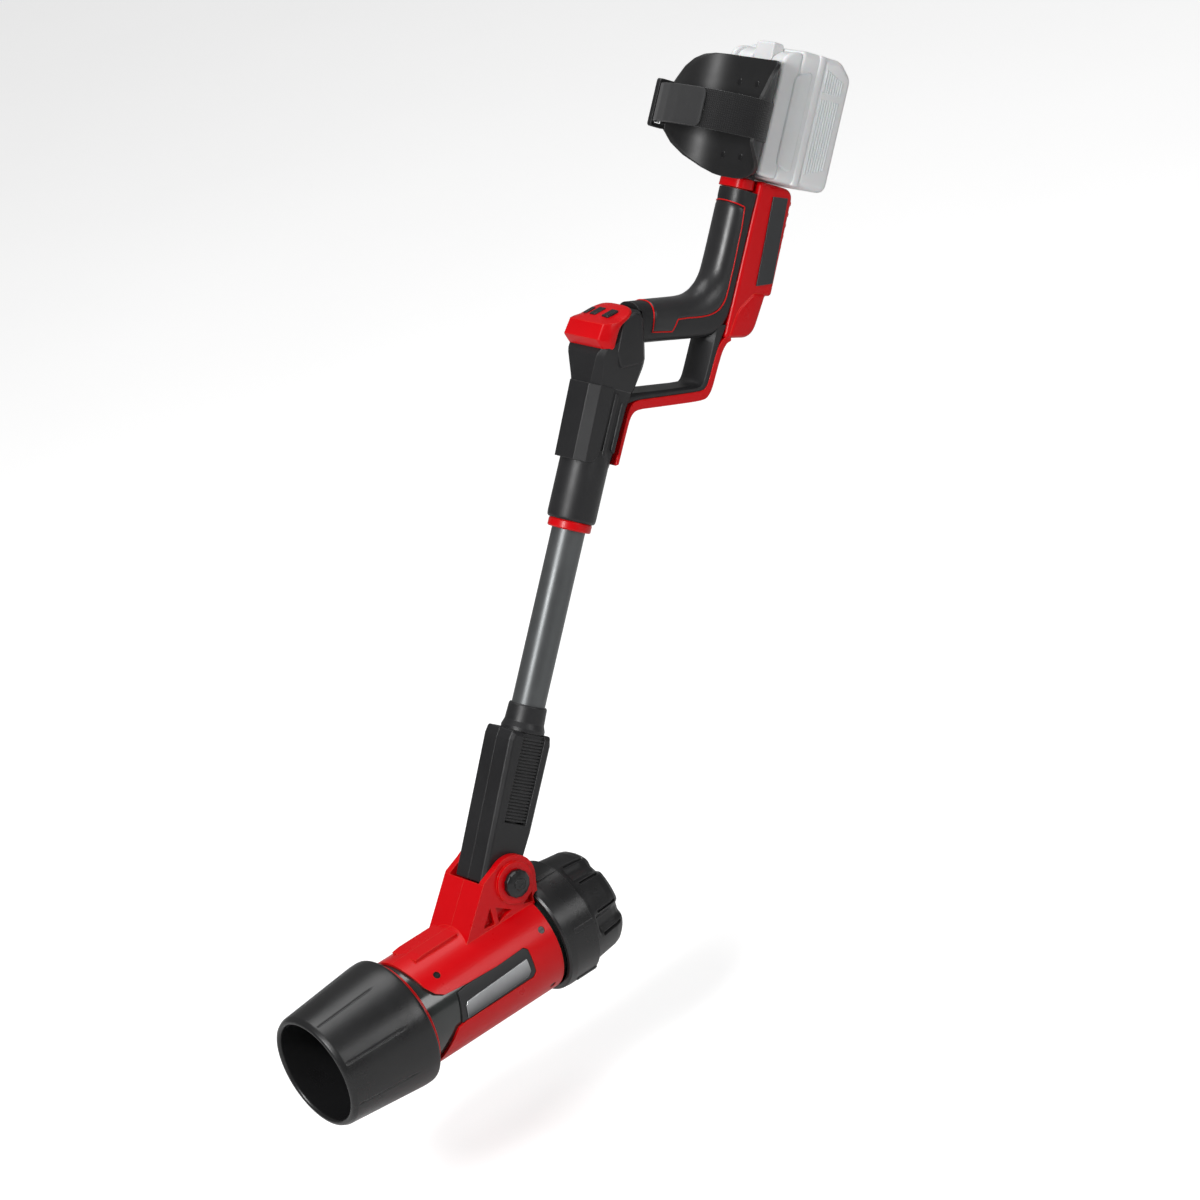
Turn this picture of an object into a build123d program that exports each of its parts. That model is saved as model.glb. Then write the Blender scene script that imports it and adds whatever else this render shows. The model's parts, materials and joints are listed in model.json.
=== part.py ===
from build123d import *
import os
from math import asin, cos, degrees, radians, sin

# Pole-type cordless leaf blower, millimetres.
# Row frame: origin at the centre of the horizontal hand grip, +X the way the air leaves,
# +Y the user's left, +Z up, with the fan axis level.

# Overall layout
POLE_LEAN = 36.0  # the pole leans back from upright, degrees
GRIP_BACK = 47.0  # hand grip's centre behind the head pivot, square to the pole
GRIP_UP = 510.0  # hand grip's centre above the head pivot, along the pole
AXIS_DROP = 70.5  # fan axis below the head pivot
POLE_FORWARD = 5.8  # pole axis in front of the pivot, square to the pole
POLE_R = 15.0
POLE_WALL = 1.5
POLE_FOOT, POLE_TOP = 42.0, 400.0
FIT = 0.05  # gap of a fit, on the radius
WALL = 2.8  # moulded wall

# Fan head, x from the pivot and radii about the fan axis
SHELL_R, SHELL_BORE = 51.0, 48.4
SHELL_REAR = -12.0
DUCT_R, DUCT_BORE = 48.3, 45.5
DUCT_REAR, DUCT_FRONT = -50.0, 158.0
NOZZLE_REAR, NOZZLE_TIP = 139.0, 232.0
NOZZLE_BORE = 48.0
NOZZLE_BORE_START = 196.0
NOZZLE_TWIST = 20.0  # bayonet travel, degrees
BAYONET_COUNT = 3
GROOVE_COUNT = 8
INTAKE_R = 56.5
INTAKE_FRONT, INTAKE_REAR = -16.0, -50.0
GUARD_R, GUARD_REAR = 52.5, -89.0
GUARD_MOUTH_R = 36.0
LOBES = 6
HUB_R = 18.0
BLADES = 9
VANES = 7
SHAFT_R = 2.5
POD_R = 23.2
SHELL_SCREWS = ((106.0, 47.0), (-2.6, 28.5), (-0.6, -40.0))  # x, degrees up from the side

# Fork and pivot
EAR_IN, EAR_OUT = 21.2, 28.0
EAR_R = 24.5
BOSS_R, BOSS_OUT = 19.0, 31.0
BOLT_R, BOLT_HEAD_R = 5.0, 13.0
STOP_LEVEL = -7.2  # top of the fork's web, along the pole
ARM_HALF = 20.7
ARM_TOP = 130.0
SOCKET_R = 17.0
RIB_PITCH = 2.9

# Handle, in the pole's own frame: forward of the pivot and up along the pole
COLUMN_R = 21.8
COLUMN_BACK = -16.0
COLUMN_FOOT = 319.0
SHIELD_FOOT = 372.0
WAIST = 444.0
HEAD_BOTTOM = 468.0
HANDLE_HALF = 18.0
COLUMN_HALF = 20.5
HEAD_HALF = 26.0
RED_EDGE = -105.0  # the black housing meets the red rear housing
NECK = 640.0
HANDLE_SCREWS = ((-58, 502), (-101.5, 545), (-101.5, 615), (28, 453), (-12.4, 412))
SCREW_HEAD_R = 2.8
LOOP = ((-29.5, 485.0), (-91.0, 503.0), (-91.0, 460.0), (-31.5, 443.0))

# Cuff and battery
CUFF_BORE, CUFF_WALL = 60.0, 3.0
CUFF_AXIS = -17.0
CUFF_BOTTOM, CUFF_TOP = 645.0, 751.0
STRAP_LOW, STRAP_HIGH = 679.0, 714.0
PACK_HALF = 38.5
PACK_FRONT, PACK_REAR = -86.0, -165.0
PACK_LOW, PACK_HIGH = 650.0, 768.0
PACK_SPLIT = -128.0
PACK_RIBS = 8
DOCK_TOP = 742.0
CELL_R, CELL_LENGTH = 9.1, 65.0

# Buttons on the control cap
CAP_TOP = 36.4
CAP_X = 63.0
BUTTONS = {"power_button": -4.5, "speed_button": 12.5}
BUTTON_LONG, BUTTON_WIDE = 13.0, 8.0
BUTTON_PROUD = 1.5  # more than the press of 1.2
DOME_HIGH = 3.0

PLATE_OUTLINE = (
    (23.5, 10.6), (93.5, 7.6), (96.5, 4.6), (98.0, -7.4), (95.5, -7.7), (27.5, -5.4), (23.5, -1.5),
)
REAR_OUTLINE = (
    (RED_EDGE - 0.1, 648.5), (RED_EDGE - 0.1, 505.1),
    (-118, 508.5), (-130, 511.5), (-135.5, 519), (-138.5, 551),
    (-148.5, 551), (-146, 642), (-138, 647.5),
)
LABEL_OUTLINE = ((-120.5, 638.5), (-138.5, 640.5), (-143.5, 562.5), (-124.8, 556.5))
HANDLE_OUTLINE = (
    (20, 360), (27.5, 376), (30.5, WAIST), (24, 470),
    (-4, 516.5), (-20, 521.5), (-58, 532.6), (-68, 538),
    (-76, 546), (-81, 558), (-81.5, NECK), (RED_EDGE, NECK),
    (RED_EDGE, 505), (-100, 499), (-98.5, 462),
    (-95, 456), (-20, 434), (COLUMN_BACK, 428), (COLUMN_BACK, 360),
)

lean = radians(POLE_LEAN)
pivot_x = GRIP_BACK * cos(lean) + GRIP_UP * sin(lean)
pivot_z = GRIP_BACK * sin(lean) - GRIP_UP * cos(lean)
ROW = Location((0, 0, 0))
HEAD = Location((pivot_x, 0, pivot_z))
FAN = Location((pivot_x, 0, pivot_z - AXIS_DROP))
POLE = Location((pivot_x, 0, pivot_z), (0, -POLE_LEAN, 0))
TUBE = POLE * Location((POLE_FORWARD, 0, 0))


# Shared shapes


def side_face(points):
    """A face from an outline drawn in the side view, forward and up."""
    return make_face(Plane.XZ * Polyline(*points, close=True))


def slab(points, half_width):
    """A side outline given an equal thickness each side of the middle plane."""
    return extrude(side_face(points), half_width, both=True)


def soft_slab(points, half_width, edge):
    """A slab whose rim is bevelled on both sides."""
    body = slab(points, half_width)
    rims = [e for e in body.edges() if abs(abs(e.center().Y) - half_width) < 0.001]
    return chamfer(rims, edge)


def turned(points, arc=360):
    """A ring or body of revolution about X from its profile in x and radius."""
    return revolve(side_face(points), Axis.X, arc)


def tube(radius, bore, low, high):
    """A round tube along Z."""
    height = high - low
    wall = Cylinder(radius, height) - Cylinder(bore, height + 1)
    return Pos(0, 0, (low + high) / 2) * wall


def rod(radius, low, high):
    """A round bar along Z."""
    return Pos(0, 0, (low + high) / 2) * Cylinder(radius, high - low)


def cross_rod(radius, low, high, x=0.0, z=0.0):
    """A round bar along Y."""
    bar = Rot(90, 0, 0) * Cylinder(radius, high - low)
    return Pos(x, (low + high) / 2, z) * bar


def block(x, y, z):
    """A box from its low and high corner along each axis."""
    middle = [(a + b) / 2 for a, b in (x, y, z)]
    return Pos(*middle) * Box(*[b - a for a, b in (x, y, z)])


def around(shape, count, start=0.0):
    """Copies of a shape spaced equally about X."""
    return [Rot(start + 360 / count * n, 0, 0) * shape for n in range(count)]


def radial(shape, x, angle):
    """A shape's +Z turned to point outwards at an angle up from the +Y side."""
    return Pos(x, 0, 0) * Rot(angle - 90, 0, 0) * shape


def both_sides(shape):
    """A shape and its mirror image across the middle plane."""
    return [shape, mirror(shape, about=Plane.XZ)]


def fuse(shapes):
    """One solid from several that overlap or meet."""
    first, *rest = shapes
    return first.fuse(*rest) if rest else first


def half(shape, side):
    """The part of a shape on one side of the middle plane, side 1 being the left."""
    reach = 1500
    keep = Pos(0, side * reach / 2, 0) * Box(2 * reach, reach, 2 * reach)
    return shape & keep


# Fan head


def screw_holes(radius, inner, outer):
    """Round cuts through the wall at every shell screw."""
    cut = rod(radius, inner, outer)
    left = [radial(cut, x, angle) for x, angle in SHELL_SCREWS]
    return [one for item in left for one in both_sides(item)]


def fan_duct():
    rear, front = DUCT_REAR, DUCT_FRONT
    body = turned([(rear, DUCT_BORE), (front, DUCT_BORE), (front, DUCT_R), (rear, DUCT_R)])
    lug = turned([(153.5, DUCT_R - 1), (156.5, DUCT_R - 1), (156.5, 50.4), (153.5, 50.4)], 10)
    return fuse([body - screw_holes(1.5, 44, 50), *around(lug, BAYONET_COUNT)])


def blower_nozzle():
    collar = DUCT_R + 0.08
    profile = [
        (NOZZLE_REAR, 57.6), (NOZZLE_REAR + 0.6, 59.6),
        (NOZZLE_REAR + 3, 60.9), (NOZZLE_REAR + 8, 61),
        (226, 53.6), (230, 52.6), (NOZZLE_TIP, 50.6),
        (NOZZLE_TIP, 49.2), (NOZZLE_TIP - 1.2, NOZZLE_BORE),
        (NOZZLE_BORE_START, NOZZLE_BORE), (166, 52),
        (162, 52), (161, collar), (150, collar), (149, 55.5),
        (144, 57.2),
    ]
    groove = block((166, 227), (-0.6, 0.6), (0, 8))
    grooves = []
    for n in range(GROOVE_COUNT):
        rise = degrees(asin((60.0 - 54.0) / (227 - 166)))
        cut = Rot(n * 45.0 + 22.0 - 90.0, 0, 0) * Pos(166, 0, 58.1) * Rot(0, rise * 1.16, 0)
        grooves.append(cut * Pos(-166, 0, 0) * groove)
    track = [(153.2, collar - 1), (156.8, collar - 1), (156.8, 50.9), (153.2, 50.9)]
    travel = turned(track, NOZZLE_TWIST + 12)
    entry = turned([(148, collar - 1), (156.8, collar - 1), (156.8, 50.9), (148, 50.9)], 12)
    slots = around(Rot(-NOZZLE_TWIST - 1, 0, 0) * travel, BAYONET_COUNT)
    entries = around(Rot(-NOZZLE_TWIST - 1, 0, 0) * entry, BAYONET_COUNT)
    return turned(profile) - grooves - slots - entries


def nozzle_ring():
    bore = DUCT_R + FIT
    rear, front = 134.3, 137.9
    return turned([
        (rear, bore), (front, bore), (front, 53.7), (front - 0.9, 54.6), (rear + 0.9, 54.6), (rear, 53.7),
    ])


def fork_ear():
    """The left ear with its boss and truss pockets, in the pivot's frame."""
    plate = [(14, 20.4), (29, 14.4), (66, -30), (62, -45), (-16, -45), (-22.8, -9)]
    ear = slab(plate, 40) + cross_rod(EAR_R, -40, 40)
    ear = ear & block((-40, 90), (EAR_IN, EAR_OUT), (-60, 40))
    ear = ear + cross_rod(BOSS_R, EAR_IN, BOSS_OUT) - cross_rod(BOLT_R + 0.1, 0, 50)
    pockets = (
        ((30.5, -9.5), (43, -24), (30.5, -26)),
        ((25, -12), (26.5, -26.5), (10, -22.5)),
        ((-3, -24), (-15.5, -17.5), (-13, -26.5)),
    )
    for points in pockets:
        ear = ear - Pos(0, EAR_OUT, 0) * slab(points, EAR_OUT - EAR_IN - 1.4)
    return ear


def fork_web():
    """The sloping web between the ears; its top edge is the arm's stop."""
    c, s = cos(lean), sin(lean)
    outer, inner = 43.4, 38.0
    top = [(sum_ * c - STOP_LEVEL) / (c + s) for sum_ in (outer, inner)]
    points = [
        (top[0], outer - top[0]), (68, -32), (64, -36), (56, -28), (top[1], inner - top[1]),
    ]
    return slab(points, EAR_OUT)


def head_shell():
    """Both halves of the red head shell as one, in the fan axis frame."""
    barrel = turned([(SHELL_REAR, SHELL_BORE), (136, SHELL_BORE), (136, SHELL_R), (SHELL_REAR, SHELL_R)])
    front = [
        (140, 60), (126.5, 60), (126.5, 48), (123, 34), (118, 27), (110.5, 22.6), (86, 20.6),
        (52, 19.2), (22, 20.4), (18, 17), (18, -5), (22, -9), (100, -9), (109, -11), (118, -22),
        (127, -34), (133, -44), (134, -60), (140, -60),
    ]
    rise = Pos(0, 0, AXIS_DROP)
    fork = fuse([*[rise * ear for ear in both_sides(fork_ear())], rise * fork_web()])
    pad = slab([(64, 44), (64, 51.5), (104, 51.5), (112, 50.4), (112, 44)], 17)
    ring_room = [(-60, 0), (-12.1, 0), (-15, 55.6), (-17.6, 57.6), (-26, 58.2), (-60, 58.2)]
    top = (fork + pad) - Rot(0, 90, 0) * Cylinder(SHELL_BORE + 1, 400) - turned(ring_room)
    heads = screw_holes(3.4, 49.5, 60)
    shanks = screw_holes(1.6, 44, 60)
    return (barrel - slab(front, 80)) + top - heads - shanks


def head_shell_left():
    return half(head_shell(), 1)


def head_shell_right():
    return half(head_shell(), -1)


def head_screws():
    one = rod(3.2, 49.6, 50.3) + rod(1.4, 46.2, 49.8)
    one = one - block((-2.4, 2.4), (-0.4, 0.4), (49.9, 52))
    left = [radial(one, x, angle) for x, angle in SHELL_SCREWS]
    return [item for screw in left for item in both_sides(screw)]


def side_bezel(side):
    ring = turned([(15, 48.45), (112, 48.45), (112, 50.2), (15, 50.2)])
    outline = [
        (18.3, 16.6), (22.2, 19.8), (30, 19.4), (52, 18.9), (86, 19.8), (98, 18), (104, -8.7),
        (22.2, -8.7), (18.3, -4.8),
    ]
    pocket = turned([(15, 49.0), (112, 49.0), (112, 52), (15, 52)]) & slab(PLATE_OUTLINE, 80)
    return half((ring & slab(outline, 80)) - pocket, side)


def side_bezel_left():
    return side_bezel(1)


def side_bezel_right():
    return side_bezel(-1)


def side_plate(side):
    ring = turned([(20, 49.05), (100, 49.05), (100, 51.0), (20, 51.0)])
    inset = [(x + (0.2 if x < 60 else -0.2), z + (0.2 if z < 1 else -0.2)) for x, z in PLATE_OUTLINE]
    return half(ring & slab(inset, 80), side)


def side_plate_left():
    return side_plate(1)


def side_plate_right():
    return side_plate(-1)


def intake_ring():
    """The band round the duct's rear end, open in front, with a key rib at each lobe."""
    bore, inside = DUCT_R + FIT, INTAKE_R - WALL
    rim = [
        (INTAKE_FRONT, 51.2), (INTAKE_FRONT, 54.2),
        (INTAKE_FRONT - 2, 55.8), (INTAKE_FRONT - 8, INTAKE_R),
        (INTAKE_REAR, INTAKE_R), (INTAKE_REAR, bore),
        (INTAKE_REAR + 3, bore), (INTAKE_REAR + 3, inside),
        (INTAKE_FRONT - 9, inside), (INTAKE_FRONT - 3, 53.0), (INTAKE_FRONT - 3, 51.2),
    ]
    key = block((INTAKE_REAR, INTAKE_FRONT - 12), (-2.2, 2.2), (INTAKE_R - 1, INTAKE_R + 0.9))
    return fuse([turned(rim), *around(key, LOBES, 41)])


def lobed(skin):
    """The guard's outside, or its inside when skin is its wall: a dome with scallops between lobes."""
    front = INTAKE_REAR - 0.1 + (1 if skin else 0)
    rear = GUARD_REAR + skin
    dome = turned([
        (front, 0), (front, GUARD_R - skin), (-62, GUARD_R - 1 - skin), (-78, 49.5 - skin),
        (-85 + skin, 46 - skin), (rear, 41 - skin), (rear, 0),
    ])
    scallop = Pos(-84, 0, 58.5) * Rot(0, 90, 0) * Cylinder(13 + skin, 50 + 2 * skin)
    return dome - around(scallop, LOBES)


def guard_bar(radius, wide):
    """One round bar of the guard's rear grille."""
    rear, front = GUARD_REAR, GUARD_REAR + 3
    return turned([(rear, radius), (front, radius), (front, radius + wide), (rear, radius + wide)])


def intake_guard():
    mouth = Pos(GUARD_REAR, 0, 0) * Rot(0, 90, 0) * Cylinder(GUARD_MOUTH_R, 20)
    slot = block((-84, -64), (-1.1, 1.1), (40, 70))
    slots = [Rot(30 + spin, 0, 0) * item for item in around(slot, LOBES) for spin in (-11, 11)]
    shell = lobed(0) - lobed(WALL) - mouth - slots
    bars = [guard_bar(radius, 2.4) for radius in (12.0, 20.0, 28.0)]
    spoke = block((GUARD_REAR, GUARD_REAR + 3), (-1.2, 1.2), (5, GUARD_MOUTH_R + 1))
    return fuse([shell, guard_bar(0, 7), *bars, *around(spoke, 2 * LOBES)])


def fan_impeller():
    hub = turned([
        (-41, SHAFT_R), (-41, 9), (-37, 14.5), (-30, HUB_R),
        (-14, HUB_R), (-14, HUB_R - 2), (-28, HUB_R - 2),
        (-32, 8), (-18, 7), (-18, SHAFT_R),
    ])
    blade = Pos(-23, 0, 31.5) * Rot(0, 0, 52) * Box(22, 1.6, 31)
    disc = turned([(-40, 12), (-11, 12), (-11, 45), (-40, 45)])
    blades = [item & disc for item in around(blade, BLADES)]
    bore = turned([(-50, 0), (0, 0), (0, HUB_R - 2), (-28.1, HUB_R - 2), (-32.1, 8), (-50, 8)])
    return fuse([hub, *[item - bore for item in blades]])


def motor_shaft():
    return turned([(-42, 0), (54, 0), (54, SHAFT_R), (-42, SHAFT_R)])


def motor_rotor():
    return turned([(12, SHAFT_R), (40, SHAFT_R), (40, 11), (12, 11)])


def motor_stator():
    ring = turned([(9, 12), (43, 12), (43, 20.5), (9, 20.5)])
    slot = block((0, 60), (-1.6, 1.6), (11, 18))
    return ring - around(slot, 12)


def motor_bearings():
    ring = [(0, SHAFT_R + FIT), (5, SHAFT_R + FIT), (5, 6.5), (0, 6.5)]
    return [Pos(x, 0, 0) * turned(ring) for x in (-4, 47)]


def motor_pod():
    shell = turned([
        (-8, 6.52), (-8, POD_R - 1), (-7, POD_R), (56, POD_R), (56, 20.55), (-3, 20.55), (1, 6.52),
    ])
    rim = turned([(0, 44.2), (26, 44.2), (26, DUCT_BORE - 0.1), (0, DUCT_BORE - 0.1)])
    vane = Pos(13, 0, 33.5) * Rot(0, 0, -18) * Box(24, 1.8, 23)
    return fuse([shell, rim, *around(vane, VANES)])


def tail_cone():
    profile = [
        (44, 6.52), (44, 20.5), (56.05, 20.5),
        (56.05, POD_R), (78, 20), (100, 11), (110, 5), (114, 0),
        (110, 0), (98, 8), (76, 17), (58, 20), (56, 12), (52.2, 6.52),
    ]
    return turned(profile)


# Pivot and arm


def pivot_bolt():
    head = cross_rod(BOLT_HEAD_R, BOSS_OUT, 36) + cross_rod(BOLT_HEAD_R - 2, 36, 38)
    drive = extrude(Plane.XZ * RegularPolygon(4.6, 6), -39)
    drive = drive - block((-9, 9), (0, 34), (-9, 9))
    return head - drive + cross_rod(BOLT_R, -37, BOSS_OUT)


def pivot_nut():
    hexagon = extrude(Plane.XZ * RegularPolygon(10.5, 6), 38)
    return hexagon - block((-12, 12), (-BOSS_OUT, 0), (-12, 12)) - cross_rod(BOLT_R + 0.02, -40, 0)


def pivot_bush():
    return cross_rod(8, -ARM_HALF, ARM_HALF) - cross_rod(BOLT_R + 0.08, -30, 30)


def pivot_arm():
    """Both halves of the lower sleeve as one, in the pole's frame."""
    outline = [
        (28.3, -6.4), (29.6, 40), (32.6, 122),
        (31, ARM_TOP), (-12.5, ARM_TOP), (-14.6, 122), (-14.6, 44),
        (-12.2, 14), (-9, -6.4),
    ]
    body = soft_slab(outline, ARM_HALF, 3.4) + cross_rod(13, -ARM_HALF, ARM_HALF)
    bore = Pos(POLE_FORWARD, 0, 0) * rod(SOCKET_R + FIT, POLE_FOOT - 0.1, 200)
    lead_hole = Pos(12, 0, 0) * rod(4, 12, 60)
    window = block((POLE_FORWARD - 11, POLE_FORWARD + 13), (-30, 30), (50, 200))
    return body - bore - window - lead_hole - cross_rod(8.02, -30, 30)


def pivot_arm_left():
    return half(pivot_arm(), 1)


def pivot_arm_right():
    return half(pivot_arm(), -1)


def tube_socket():
    sleeve = Pos(POLE_FORWARD, 0, 0) * tube(SOCKET_R, POLE_R + FIT, POLE_FOOT, ARM_TOP - 0.2)
    low, high = 51.5, ARM_TOP - 1
    ribs = []
    for n in range(int((high - low) / RIB_PITCH)):
        level = low + n * RIB_PITCH
        ribs.append(block((POLE_FORWARD - 10.7, POLE_FORWARD + 12.7), (13, 19.4), (level, level + 1.5)))
    bars = [rib for item in ribs for rib in both_sides(item)]
    backing = both_sides(block((POLE_FORWARD - 10.7, POLE_FORWARD + 12.7), (13, 17.6), (low, high)))
    core = Pos(POLE_FORWARD, 0, 0) * rod(POLE_R + FIT, 0, 200)
    return fuse([sleeve, *backing, *bars]) - core


def arm_collar():
    profile = [
        (POLE_R + FIT, ARM_TOP), (19.6, ARM_TOP),
        (19.6, ARM_TOP + 3), (17.8, ARM_TOP + 8), (17.2, ARM_TOP + 22),
        (16.4, ARM_TOP + 23.5), (POLE_R + FIT, ARM_TOP + 23.5),
    ]
    return revolve(side_face(profile), Axis.Z, 360)


def pole_tube():
    return tube(POLE_R, POLE_R - POLE_WALL, POLE_FOOT, POLE_TOP)


def collar_ring():
    profile = [
        (POLE_R + FIT, 311), (18.4, 311), (19.4, 312),
        (19.4, 317.5), (18.8, 318.9), (POLE_R + FIT, 318.9),
    ]
    return revolve(side_face(profile), Axis.Z, 360)


# Handle


def chamfered_section(front, rear, half_width, edge, level):
    """A flat bevelled rectangle across the pole, for lofting."""
    points = [
        (front - edge, half_width), (front, half_width - edge), (front, edge - half_width),
        (front - edge, -half_width), (rear + edge, -half_width), (rear, edge - half_width),
        (rear, half_width - edge), (rear + edge, half_width),
    ]
    return make_face(Pos(0, 0, level) * Polyline(*points, close=True))


def control_head_block():
    """The black block that flares out under the control cap."""
    waist = chamfered_section(30.5, -19.5, COLUMN_HALF, 7, WAIST - 4)
    flare = chamfered_section(36.5, -21, HEAD_HALF, 5, HEAD_BOTTOM)
    top = chamfered_section(36.5, -8, HEAD_HALF, 5, 505)
    lower = loft([waist, flare])
    upper = loft([flare, top])
    outline = [
        (40, 430), (40, 466), (27, 466), (22, 478), (22, 494), (6.4, 506), (6.4, 509), (-4, 516),
        (-30, 500), (-30, 430),
    ]
    return (lower + upper) & slab(outline, 40)


def handle_core():
    """The outside of the black handle, both halves as one."""
    column = Pos(POLE_FORWARD, 0, 0) * rod(COLUMN_R, COLUMN_FOOT, SHIELD_FOOT + 10)
    body = soft_slab(HANDLE_OUTLINE, HANDLE_HALF, 6)
    loop = slab(LOOP, 60)
    return fuse([column, body, control_head_block()]) - loop


def handle_hollow():
    """What is taken out of the handle: the pole's socket, the wiring run and the board bay."""
    socket = Pos(POLE_FORWARD, 0, 0) * rod(POLE_R + FIT, 300, POLE_TOP + 1)
    bay = slab([(17, 402), (22, WAIST), (26, 462), (14, 484), (-6, 500), (-11, 470), (-9, 402)], 15)
    bend = [
        (-14, 500), (-18, 511), (-70, 524), (-89, 560), (-89, 660), (-100, 660), (-100, 534), (-22, 496),
    ]
    run = slab(bend, 12)
    way = slab([(-6, 488), (-24, 493), (-24, 509), (-6, 504)], 10)
    return [socket, bay, run, way]


def grip_zone():
    """Side outline of the soft grip's cover, from the bar's top down to its edge line."""
    return [
        (-17.4, 560), (-19.2, 495.6), (-42, 500),
        (-46.4, 511.4), (-78, 520), (-90, 530), (-97, 552), (-97, 627),
        (-60, 627),
    ]


def grip_skin(depth):
    """A layer of the given depth over the handle inside the grip's outline."""
    inner = soft_slab(HANDLE_OUTLINE, HANDLE_HALF, 6)
    shrunk = [
        (-10, 400), (-10, 516.2 - depth), (-20, 521.5 - depth), (-58 - depth * 0.4, 532.6 - depth),
        (-68 - depth * 0.6, 538 - depth * 0.8), (-76 - depth * 0.8, 546 - depth * 0.6),
        (-81 - depth, 558), (-81.5 - depth, 700), (-140, 700), (-140, 400),
    ]
    core = soft_slab(shrunk, HANDLE_HALF - depth, 5.4)
    return (inner & slab(grip_zone(), 40)) - core


def handle_body():
    body = handle_core() - handle_hollow() - grip_skin(2.0) - screw_ways()
    cover_seat = block((8, 60), (-40, 40), (SHIELD_FOOT, WAIST - 4))
    cover_seat = cover_seat - block((8, 24.5), (-17.5, 17.5), (300, 500))
    return body - cover_seat


def handle_left():
    return half(handle_body(), 1)


def handle_right():
    return half(handle_body(), -1)


def grip_cover():
    loop = slab(LOOP, 60)
    return grip_skin(1.9) - loop


def control_front_cover():
    """The bevelled cover on the front of the control column."""
    low = chamfered_section(29.5, -19, COLUMN_HALF + 0.6, 8, SHIELD_FOOT + 0.1)
    high = chamfered_section(31.5, -19, COLUMN_HALF + 0.6, 8, WAIST - 4.1)
    body = loft([low, high])
    keep = block((8.2, 60), (-40, 40), (300, 500)) - block((0, 24.7), (-17.7, 17.7), (300, 500))
    return body & keep


def handle_spine():
    """The red band round the outside of the loop and down the column's back."""
    outer = [
        (COLUMN_BACK - 0.1, 372), (COLUMN_BACK - 0.1, 427.9), (-20.1, 433.9), (-95.1, 455.9),
        (-98.6, 461.9), (-100.1, 499), (-105.1, 505), (-112, 505), (-106.5, 498), (-104.5, 458),
        (-99.5, 448), (-22.5, 425.4), (-19.8, 421), (-19.4, 374),
    ]
    return soft_slab(outer, HANDLE_HALF - 1, 1.2) - control_head_block()


def rear_housing():
    body = soft_slab(REAR_OUTLINE, 20, 3)
    bay = slab([(-104, 640), (-104, 520), (-127, 518), (-133, 552), (-133, 640)], 16.5)
    vents = block((-160, -140), (-14.2, 14.2), (555.8, 640.2))
    panels = both_sides(slab_at(LABEL_OUTLINE, 18.9, 25))
    return body - bay - vents - panels


def slab_at(points, near, far):
    """A side outline filled between two distances to the left of the middle plane."""
    depth = far - near
    return Pos(0, (near + far) / 2, 0) * slab(points, depth / 2)


def label_plate(side):
    plate = slab_at([(-121.2, 637.8), (-138.0, 639.7), (-142.8, 563.2), (-125.2, 557.5)], 18.95, 20.4)
    return plate if side > 0 else mirror(plate, about=Plane.XZ)


def label_left():
    return label_plate(1)


def label_right():
    return label_plate(-1)


def vent_grille():
    """A ribbed insert at the back of the rear housing, for the electronics' cooling air."""
    plate = block((-143.5, -140.3), (-14, 14), (556, 640))
    count = 9
    pitch = 84 / count
    steps = [n * pitch for n in range(count)]
    ribs = [block((-149.6, -143.4), (-14, 14), (558 + step, 562.6 + step)) for step in steps]
    slots = [block((-150, -139), (-11, 11), (563.6 + step, 566.2 + step)) for step in steps[:-1]]
    return fuse([plate, *ribs]) - slots


def control_cap():
    """The red cap: a side outline trimmed to a plan that is straight in front and round behind."""
    side = [
        (27.2, 466.2), (31.5, 466.2), (39.2, 478),
        (38.6, 493), (12.5, 512), (6.6, 512), (6.6, 506.1),
        (22.2, 494.2), (22.2, 478.1),
    ]
    body = POLE * slab(side, 27.5)
    arch = Pos(62, 0, 0) * Cylinder(28.5, 120) + block((62, 110), (-27.5, 27.5), (-60, 60))
    body = body & arch
    windows = [key_well(y, 0.25, 20) for y in BUTTONS.values()]
    display = block((CAP_X - 5.6, CAP_X + 5.6), (-18.7, -14.3), (CAP_TOP - 1.6, CAP_TOP + 5))
    return body - windows - display


def key_well(y, gap, depth):
    """The upright hole that a button runs in, with a gap all round."""
    long, wide = BUTTON_LONG / 2 + gap, BUTTON_WIDE / 2 + gap
    return block((CAP_X - long, CAP_X + long), (y - wide, y + wide), (CAP_TOP - depth, CAP_TOP + 5))


def button(y):
    cap = block(
        (CAP_X - BUTTON_LONG / 2, CAP_X + BUTTON_LONG / 2),
        (y - BUTTON_WIDE / 2, y + BUTTON_WIDE / 2),
        (CAP_TOP - 3.6, CAP_TOP + BUTTON_PROUD),
    )
    rims = cap.edges().group_by(Axis.Z)[-1]
    return chamfer(rims, 0.7)


def power_button():
    return button(BUTTONS["power_button"])


def speed_button():
    return button(BUTTONS["speed_button"])


def charge_display():
    return block((CAP_X - 5.4, CAP_X + 5.4), (-18.5, -14.5), (CAP_TOP - 1.5, CAP_TOP + 0.3))


def button_dome(y):
    """The rubber return dome under a button."""
    return Pos(CAP_X, y, CAP_TOP - 3.65 - DOME_HIGH / 2) * Cone(3.4, 2.2, DOME_HIGH)


def power_dome():
    return button_dome(BUTTONS["power_button"])


def speed_dome():
    return button_dome(BUTTONS["speed_button"])


def control_board():
    return block((-4, -2.4), (-14, 14), (404, 468))


def power_lead():
    """The two-core lead from the battery terminals' bay down through the pole."""
    return rod(3.2, POLE_FOOT + 2, POLE_TOP - 2)


def handle_screws():
    """The screws that close the handle, put in from the right."""
    screws = []
    for q, p in HANDLE_SCREWS:
        shape = cross_rod(1.5, -12, 8, q, p) + cross_rod(SCREW_HEAD_R, -14, -12, q, p)
        screws.append(shape - cross_rod(1.3, -15, -12.8, q, p))
    return screws


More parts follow.
